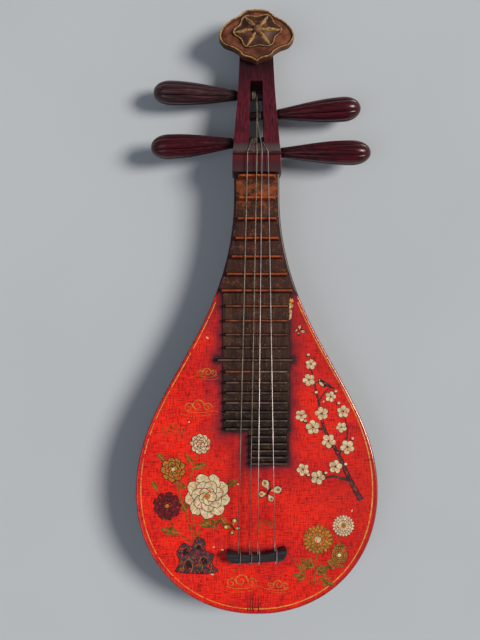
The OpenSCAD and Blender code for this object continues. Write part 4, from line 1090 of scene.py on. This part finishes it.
def butterfly(x, y, size, angle, wing, spots):
    lay = brush(OVER_LEAVES)
    for side in (-1, 1):
        for root, spread_to, length, width in ((0.1, 0.95, 1.0, 0.62), (-0.12, 2.1, 0.72, 0.52)):
            u, v = out_from(x, y, root * size, angle)
            a = angle + side * spread_to
            lay(INK, blade(u, v, a, length * size, width * size, 0.66))
            lay(wing, blade(*out_from(u, v, 0.8, a), a, length * size - 1.7, width * size - 1.3, 0.66))
            lay(spots, blob(*out_from(u, v, 0.66 * length * size, a), 0.13 * size, 0.1 * size, a, 0, 10))
        feeler = [out_from(x, y, reach * size, angle + side * bend)
                  for reach, bend in ((0.3, 0), (0.6, 0.2), (0.85, 0.45))]
        lay(INK, stroke(feeler, 0.4, 1, 1))
    lay(INK, blob(x, y, 0.38 * size, 0.08 * size, angle))


def cloud(x, y, size, way, colour):
    """A scroll cloud: three curls on one trailing line."""
    lay = brush()
    for u, v, r in ((0, 0, 0.42), (0.62, -0.1, 0.3), (-0.58, -0.12, 0.32)):
        curl = [(x + way * size * (u + r * (1 - k / 16) * math.cos(0.62 * k)),
                 y + size * (v + r * (1 - k / 16) * math.sin(0.62 * k))) for k in range(14)]
        lay(colour, stroke(curl, 1.1, 1, 0.5, 2))
    tail = [(x + way * size * u, y + size * v)
            for u, v in ((-0.9, -0.3), (-0.3, -0.46), (0.3, -0.44), (1.0, -0.34), (1.6, -0.5))]
    lay(colour, stroke(tail, 1.4, 0.4, 0.2))
    lay(colour, stroke([(u - way * 0.2 * size, v - 0.22 * size) for u, v in tail[:4]], 0.9, 0.3, 0.3))


ROCK = ((-0.95, -0.55), (-0.72, -0.1), (-0.86, 0.3), (-0.52, 0.72), (-0.2, 0.56), (0.06, 0.98), (0.4, 0.82),
        (0.46, 0.36), (0.8, 0.24), (0.74, -0.2), (1.0, -0.55), (0.3, -0.66), (-0.4, -0.64), (-0.95, -0.55))
MOSS_DABS = 18


def rock(x, y, size):
    """An upright garden rock: a craggy outline with hollows, light edges and moss."""
    lay = brush(OVER_STEMS)
    for colour, share in ((INK, 1.0), (SLATE, 0.95)):
        lay(colour, [(x + share * size * u, y + share * size * v) for u, v in through(ROCK, 4)[:-1]])
    for u, v, r in ((-0.44, 0.3, 0.15), (0.14, 0.5, 0.13), (0.36, -0.1, 0.16), (-0.3, -0.24, 0.17)):
        lay(INK, blob(x + u * size, y + v * size, 0.8 * r * size, r * size, 0.5, 0.5))
        rim = [(x + (u + 1.25 * r * math.cos(a)) * size, y + (v + 1.35 * r * math.sin(a)) * size)
               for a in (0.3, 1.2, 2.1, 3.0)]
        lay(OCHRE, stroke(rim, 1.0, 0.3, 0.3))
    for u in (-0.6, -0.2, 0.25, 0.65):
        crease = [(x + u * size, y - 0.55 * size), (x + (u + 0.06) * size, y - 0.3 * size),
                  (x + (u - 0.04) * size, y - 0.05 * size)]
        lay(OCHRE, stroke(crease, 0.9, 0.8, 0.2))
    rng = random.Random(7)
    for dab in range(MOSS_DABS):
        moss_x = x + size * rng.uniform(-0.75, 0.75)
        moss_y = y + size * rng.uniform(-0.55, 0.2)
        lay(OLIVE, blob(moss_x, moss_y, 1.3, 1.0, 0, 0.4, 9))


def bird(x, y, size, way):
    """A small perching bird, seen from its side."""
    lay = brush(OVER_LEAVES)

    def at(points):
        return [(x + way * size * u, y + size * v) for u, v in points]

    def rounded(*points):
        return at(through(points + points[:1], 4)[:-1])

    lay(INK, at([(-0.5, -0.05), (-1.45, -0.55), (-1.25, -0.65), (-0.4, -0.3)]))
    lay(INK, rounded((0.75, 0.42), (0.5, 0.72), (0.2, 0.5), (-0.3, 0.28), (-0.6, -0.05), (-0.3, -0.36),
                     (0.2, -0.36), (0.58, -0.02)))
    lay(CREAM, rounded((0.6, 0.3), (0.3, 0.2), (0.0, -0.1), (0.1, -0.3), (0.45, -0.1)))
    lay(SLATE, rounded((0.1, 0.36), (-0.5, 0.12), (-0.95, -0.22), (-0.3, -0.14)))
    lay(OCHRE, at([(0.72, 0.52), (1.0, 0.44), (0.74, 0.4)]))
    lay(CREAM, blob(x + way * size * 0.52, y + 0.52 * size, 0.08 * size, 0.08 * size, 0, 0, 10))


def paint_peonies():
    lay = brush()
    rock(-62, 56, 23)
    for stem in (((-60, 72), (-57, 92), (-52, 112)), ((-66, 72), (-84, 88), (-91, 106)),
                 ((-63, 74), (-75, 112), (-84, 144)), ((-61, 74), (-68, 130), (-58, 170))):
        lay(OLIVE, stroke(stem, 1.8, 1, 0.6))
    for x, y, angle, length, width in (
            (-58, 90, 0.2, 24, 9), (-56, 96, -0.5, 20, 8), (-78, 82, 2.9, 22, 9), (-88, 96, 2.6, 16, 7),
            (-70, 104, 2.2, 16, 8), (-72, 128, 2.6, 15, 7), (-66, 148, 0.3, 18, 7), (-65, 152, 2.2, 15, 6),
            (-38, 100, -0.9, 18, 7), (-32, 128, 0.6, 16, 7), (-100, 124, 2.1, 15, 6), (-92, 154, 2.3, 14, 6)):
        leaf(x, y, angle, length, width, OLIVE, OCHRE)
    peony(-50, 120, 23, 0.3, CREAM, CRIMSON, OCHRE)
    peony(-91, 110, 14, 0.5, CRIMSON, INK, OCHRE)
    peony(-85, 147, 12.5, 0.9, OCHRE, INK, CREAM)
    peony(-57, 173, 10.5, 0.1, CREAM, CRIMSON, OCHRE)


def paint_plum_branch():
    lay = brush()
    for line, width in (
            (((106, 116), (95, 136), (83, 162), (69, 188), (63, 215), (55, 250)), 6.0),
            (((95, 136), (76, 140), (60, 136), (46, 146)), 3.2), (((83, 162), (92, 182), (88, 206)), 2.8),
            (((69, 188), (54, 190), (44, 202)), 2.6), (((63, 215), (70, 227), (78, 230)), 2.2)):
        lay(INK, stroke(line, width, 1, 0.25))
        lay(SLATE, stroke(line, width * 0.62, 1, 0.2))
    for k, (x, y, size) in enumerate((
            (62, 139, 8), (47, 147, 7), (80, 150, 7.5), (92, 170, 8), (88, 206, 7), (73, 176, 8),
            (57, 190, 8), (45, 202, 6.5), (66, 204, 7.5), (75, 221, 6), (53, 238, 7), (55, 254, 6),
            (86, 190, 6))):
        plum_blossom(x, y, size, 0.7 * k)
    for x, y in ((52, 141), (70, 143), (97, 178), (83, 214), (49, 196), (60, 225), (80, 226), (52, 263),
                 (90, 152)):
        lay(CRIMSON, blob(x, y, 2.4, 2.0))
        lay(CREAM, blob(x + 0.4, y + 0.6, 1.5, 1.3))
    bird(68, 234, 8, -1)


def paint_chrysanthemums():
    lay = brush()
    for stem in (((58, 30), (60, 50), (62, 72)), ((62, 32), (76, 56), (86, 86)),
                 ((56, 30), (44, 44), (38, 58))):
        lay(OLIVE, stroke(stem, 1.6, 1, 0.6))
    for x, y, angle, length, width in (
            (60, 42, 0.4, 18, 8), (58, 48, 2.6, 17, 8), (72, 54, -0.3, 18, 8), (78, 66, 0.2, 16, 7),
            (74, 70, 1.9, 15, 7), (50, 38, 3.0, 14, 7), (46, 44, 1.4, 13, 6), (66, 36, -0.5, 15, 7)):
        for turn, share in ((0.0, 1.0), (0.6, 0.65), (-0.6, 0.65)):
            leaf(x, y, angle + turn, length * share, width * share, OLIVE, OCHRE)
    chrysanthemum(62, 76, 16, OCHRE, INK, CREAM)
    chrysanthemum(88, 90, 11.5, CREAM, CRIMSON, OCHRE)
    chrysanthemum(84, 60, 9, OCHRE, INK, CREAM)


FLECKS, FLECK_CLEAR, FLECK_Y, FLECK_SPREAD, FLECK_LEN, FLECK_W = 34, 8, (40, 280), 0.8, (2, 4), 1.6


def paint_small_motifs():
    butterfly(12, 124, 14, 1.1, CREAM, OCHRE)
    butterfly(-24, 88, 10, 2.2, OCHRE, CREAM)
    butterfly(43, 288, 6.5, 0.6, CREAM, CRIMSON)
    for x, y, size, way, colour in (
            (-16, 34, 17, 1, OCHRE), (22, 30, 12, -1, OCHRE), (-60, 212, 16, 1, OCHRE),
            (-84, 188, 13, -1, OLIVE), (-50, 246, 11, -1, OCHRE), (8, 92, 9, 1, OLIVE)):
        cloud(x, y, size, way, colour)
    rng = random.Random(11)
    for k in range(FLECKS):
        y = rng.uniform(*FLECK_Y)
        x = rng.uniform(-FLECK_SPREAD, FLECK_SPREAD) * half_width(y)
        if off_plate(x, y) > FLECK_CLEAR:
            lay = brush(UNDER_ALL * (k % 3 + 1))
            colour = rng.choice((CREAM, OCHRE, OLIVE))
            lay(colour, blade(x, y, rng.uniform(0, 6.3), rng.uniform(*FLECK_LEN), FLECK_W))


LINE_TAIL, LINE_SHOULDER, LINE_DRAWS_IN = 5.4, 3.2, (110, 230)    # nearer the rim at the shoulders
LINE_STOPS, LINE_VARIES = 4, (0.8, 1.1)    # millimetres before the neck joint, and shares of its width


def paint_gold_line(side, width, longest, gaps):
    """One half of the line inside the rim, in dashes where the gold has worn away."""
    lay = brush()
    rng = random.Random(20 + side)
    start_y, end_y = LINE_DRAWS_IN
    line = []
    for low, high in zip(inset_side(LINE_TAIL), inset_side(LINE_SHOULDER)):
        t = smooth((low[1] - start_y) / (end_y - start_y))
        line.append((side * lerp(low[0], high[0], t), lerp(low[1], high[1], t)))
    line = through([p for p in line if p[1] < JOINT_Y - LINE_STOPS], 3)
    i = 0
    while i < len(line) - 2:
        last = min(len(line) - 1, i + rng.randint(longest // 3, longest))
        lay(GOLD_LINE, stroke(line[i:last + 1], width * rng.uniform(*LINE_VARIES), 1, 0.8, 1))
        i = last + rng.choice(gaps)


STREAK_TOP_Y, STREAK_DABS, STREAK_OFF, STREAK_W, STREAK_NARROWS = 319, 20, 1.6, 2.6, 30


def paint_lines():
    """The splits at the tail and the bare streak beside the frets."""
    lay = brush()
    rng = random.Random(5)
    for x, y, length, width in ((-9.4, 3, 17, 1.0), (-6.3, 3, 20, 1.3), (-3.9, 2.8, 19, 1.5),
                                (-1, 6, 13, 0.8), (2.1, 2.8, 15, 1.6), (4.6, 8, 10, 0.8)):
        line = [(x + rng.uniform(-0.7, 0.7), y + length * k / 4) for k in range(5)]
        lay(INK, stroke(line, width, 0.9, 0.2, 3))
    for k in range(STREAK_DABS):
        colour = rng.choice((OCHRE, GOLD_LINE, CREAM, CREAM))
        x = LONG_X[1] + STREAK_OFF + rng.uniform(0, STREAK_W) * (1 - k / STREAK_NARROWS)
        y = STREAK_TOP_Y - k + rng.uniform(-1, 1)
        lay(colour, blob(x, y, across=rng.uniform(0.5, 1.5), along=rng.uniform(1.0, 2.4),
                         angle=rng.uniform(-0.4, 0.4), ragged=0.7, steps=12))


def make_decoration():
    paint_peonies()
    paint_plum_branch()
    paint_chrysanthemums()
    paint_small_motifs()
    paint_lines()
    paint_gold_line(1, width=1.3, longest=60, gaps=(0, 0, 1))
    paint_gold_line(-1, width=0.9, longest=24, gaps=(0, 1, 2, 3))
    for colour, outlines in coats.items():
        points, faces = [], []
        for outline, height in outlines:
            area = sum(a[0] * b[1] - b[0] * a[1] for a, b in zip(outline, outline[1:] + outline[:1]))
            ring = outline if area > 0 else outline[::-1]
            first = len(points)
            points += [(x, y, z) for z in (BOARD_Z - UNDER, BOARD_Z + height) for x, y in ring]
            faces += [[first + f for f in face] for face in loft(2, len(ring))]
        piece(f"painted_{colour.name}", points, faces, colour, sharp=30)


# Nodes that keep their own solids: their edges are eased, and they get the finish of the real wood

WELD_MM, EASED_FROM = 0.002, math.radians(32)
BLOCK_EASING, BRIDGE_EASING = 0.5, 0.3


def finish_node(name, material, easing_mm=0.0):
    node = nodes[name]
    node.data.materials.clear()
    node.data.materials.append(material)
    if easing_mm:
        weld = node.modifiers.new("joined_faces", "WELD")
        weld.merge_threshold = WELD_MM * MM
        bevel = node.modifiers.new("eased_edges", "BEVEL")
        bevel.width, bevel.segments = easing_mm * MM, 2
        bevel.limit_method, bevel.angle_limit = "ANGLE", EASED_FROM


make_soundboard()
make_binding()
make_back()
for n in range(1, FRET_COUNT + 1):
    make_fret(n)
for i in range(len(PEGS)):
    make_peg(i)
    make_string(i)
make_plaque()
make_star()
make_decoration()
finish_node("fingerboard", FINGER_WOOD)
finish_node("fret_plate", PLATE_WOOD)
finish_node("pegbox", HEAD_WOOD, BLOCK_EASING)
finish_node("nut", NUT_WOOD, BLOCK_EASING)
finish_node("bridge", BRIDGE_WOOD, BRIDGE_EASING)
for name in ("lower_bar", "upper_bar", "sound_post", "plaque_dowels"):
    finish_node(name, BARE_WOOD)


# Stage: pale floor, soft light from the right, and a camera straight above; sizes in metres

FLOOR_HALF, FLOOR_DROP = 20.0, -0.0002    # the floor lies a hair below the part, so that no faces coincide
FLOOR_TONE_MM = 300
HORIZON_GLOW, HIGH_GLOW, HIGH_FROM = 0.66, 0.2, 0.35
SENSOR_MM, LENS_MM, CAMERA_X, CAMERA_Y, CAMERA_ABOVE = 36, 44.3, -0.017, -0.011, 0.8


def make_floor():
    """Matt pale card, so even in tone that only shadows mark it."""
    material, tree = new_material("pale_floor_card")
    tone = add(tree, "ValToRGB", {"Fac": streaks(tree, [FLOOR_TONE_MM] * 3)},
               stops=((0.3, "#b8c0c9"), (0.7, "#bcc4cd")))
    finished(material, Roughness=0.9, Base_Color=tone)
    mesh = bpy.data.meshes.new("pale_floor")
    corners = ((-1, -1), (1, -1), (1, 1), (-1, 1))
    mesh.from_pydata([(FLOOR_HALF * x, FLOOR_HALF * y, FLOOR_DROP) for x, y in corners], [], [[0, 1, 2, 3]])
    mesh.materials.append(material)
    floor = bpy.data.objects.new("pale_floor", mesh)
    bpy.context.scene.collection.objects.link(floor)


def make_light(name, comes_from, spread_degrees, strength, colour):
    data = bpy.data.lights.new(name, "SUN")
    data.angle, data.energy, data.color = math.radians(spread_degrees), strength, linear(colour)[:3]
    light = bpy.data.objects.new(name, data)
    light.rotation_euler = (-Vector(comes_from)).to_track_quat("-Z", "Y").to_euler()
    bpy.context.scene.collection.objects.link(light)


def make_sky():
    """A plain studio sky that glows most at its horizon."""
    world = bpy.data.worlds.new("studio")
    world.use_nodes = True
    tree = world.node_tree
    sky = tree.nodes["Background"]
    sky.inputs["Color"].default_value = linear("#e2e4e6")
    up = add(tree, "SeparateXYZ", {0: add(tree, "TexCoord", out="Generated")}, "Z")
    glow = add(tree, "MapRange", {"Value": up, "From Max": HIGH_FROM,
                                  "To Min": HORIZON_GLOW, "To Max": HIGH_GLOW})
    tree.links.new(glow, sky.inputs["Strength"])
    bpy.context.scene.world = world
    bpy.context.scene.view_settings.view_transform = "Standard"


def make_camera():
    data = bpy.data.cameras.new("camera")
    data.sensor_width, data.lens = SENSOR_MM, LENS_MM
    camera = bpy.data.objects.new("camera", data)
    camera.location = (CAMERA_X, CAMERA_Y, BOARD_Z * MM + CAMERA_ABOVE)
    bpy.context.scene.collection.objects.link(camera)
    bpy.context.scene.camera = camera


make_floor()
make_light("window_light", (1.3, 0.2, 1.25), spread_degrees=20, strength=3.02, colour="#fff6ea")
make_light("room_light", (-0.9, -0.6, 1.6), spread_degrees=40, strength=0.4, colour="#eef3ff")
make_sky()
make_camera()
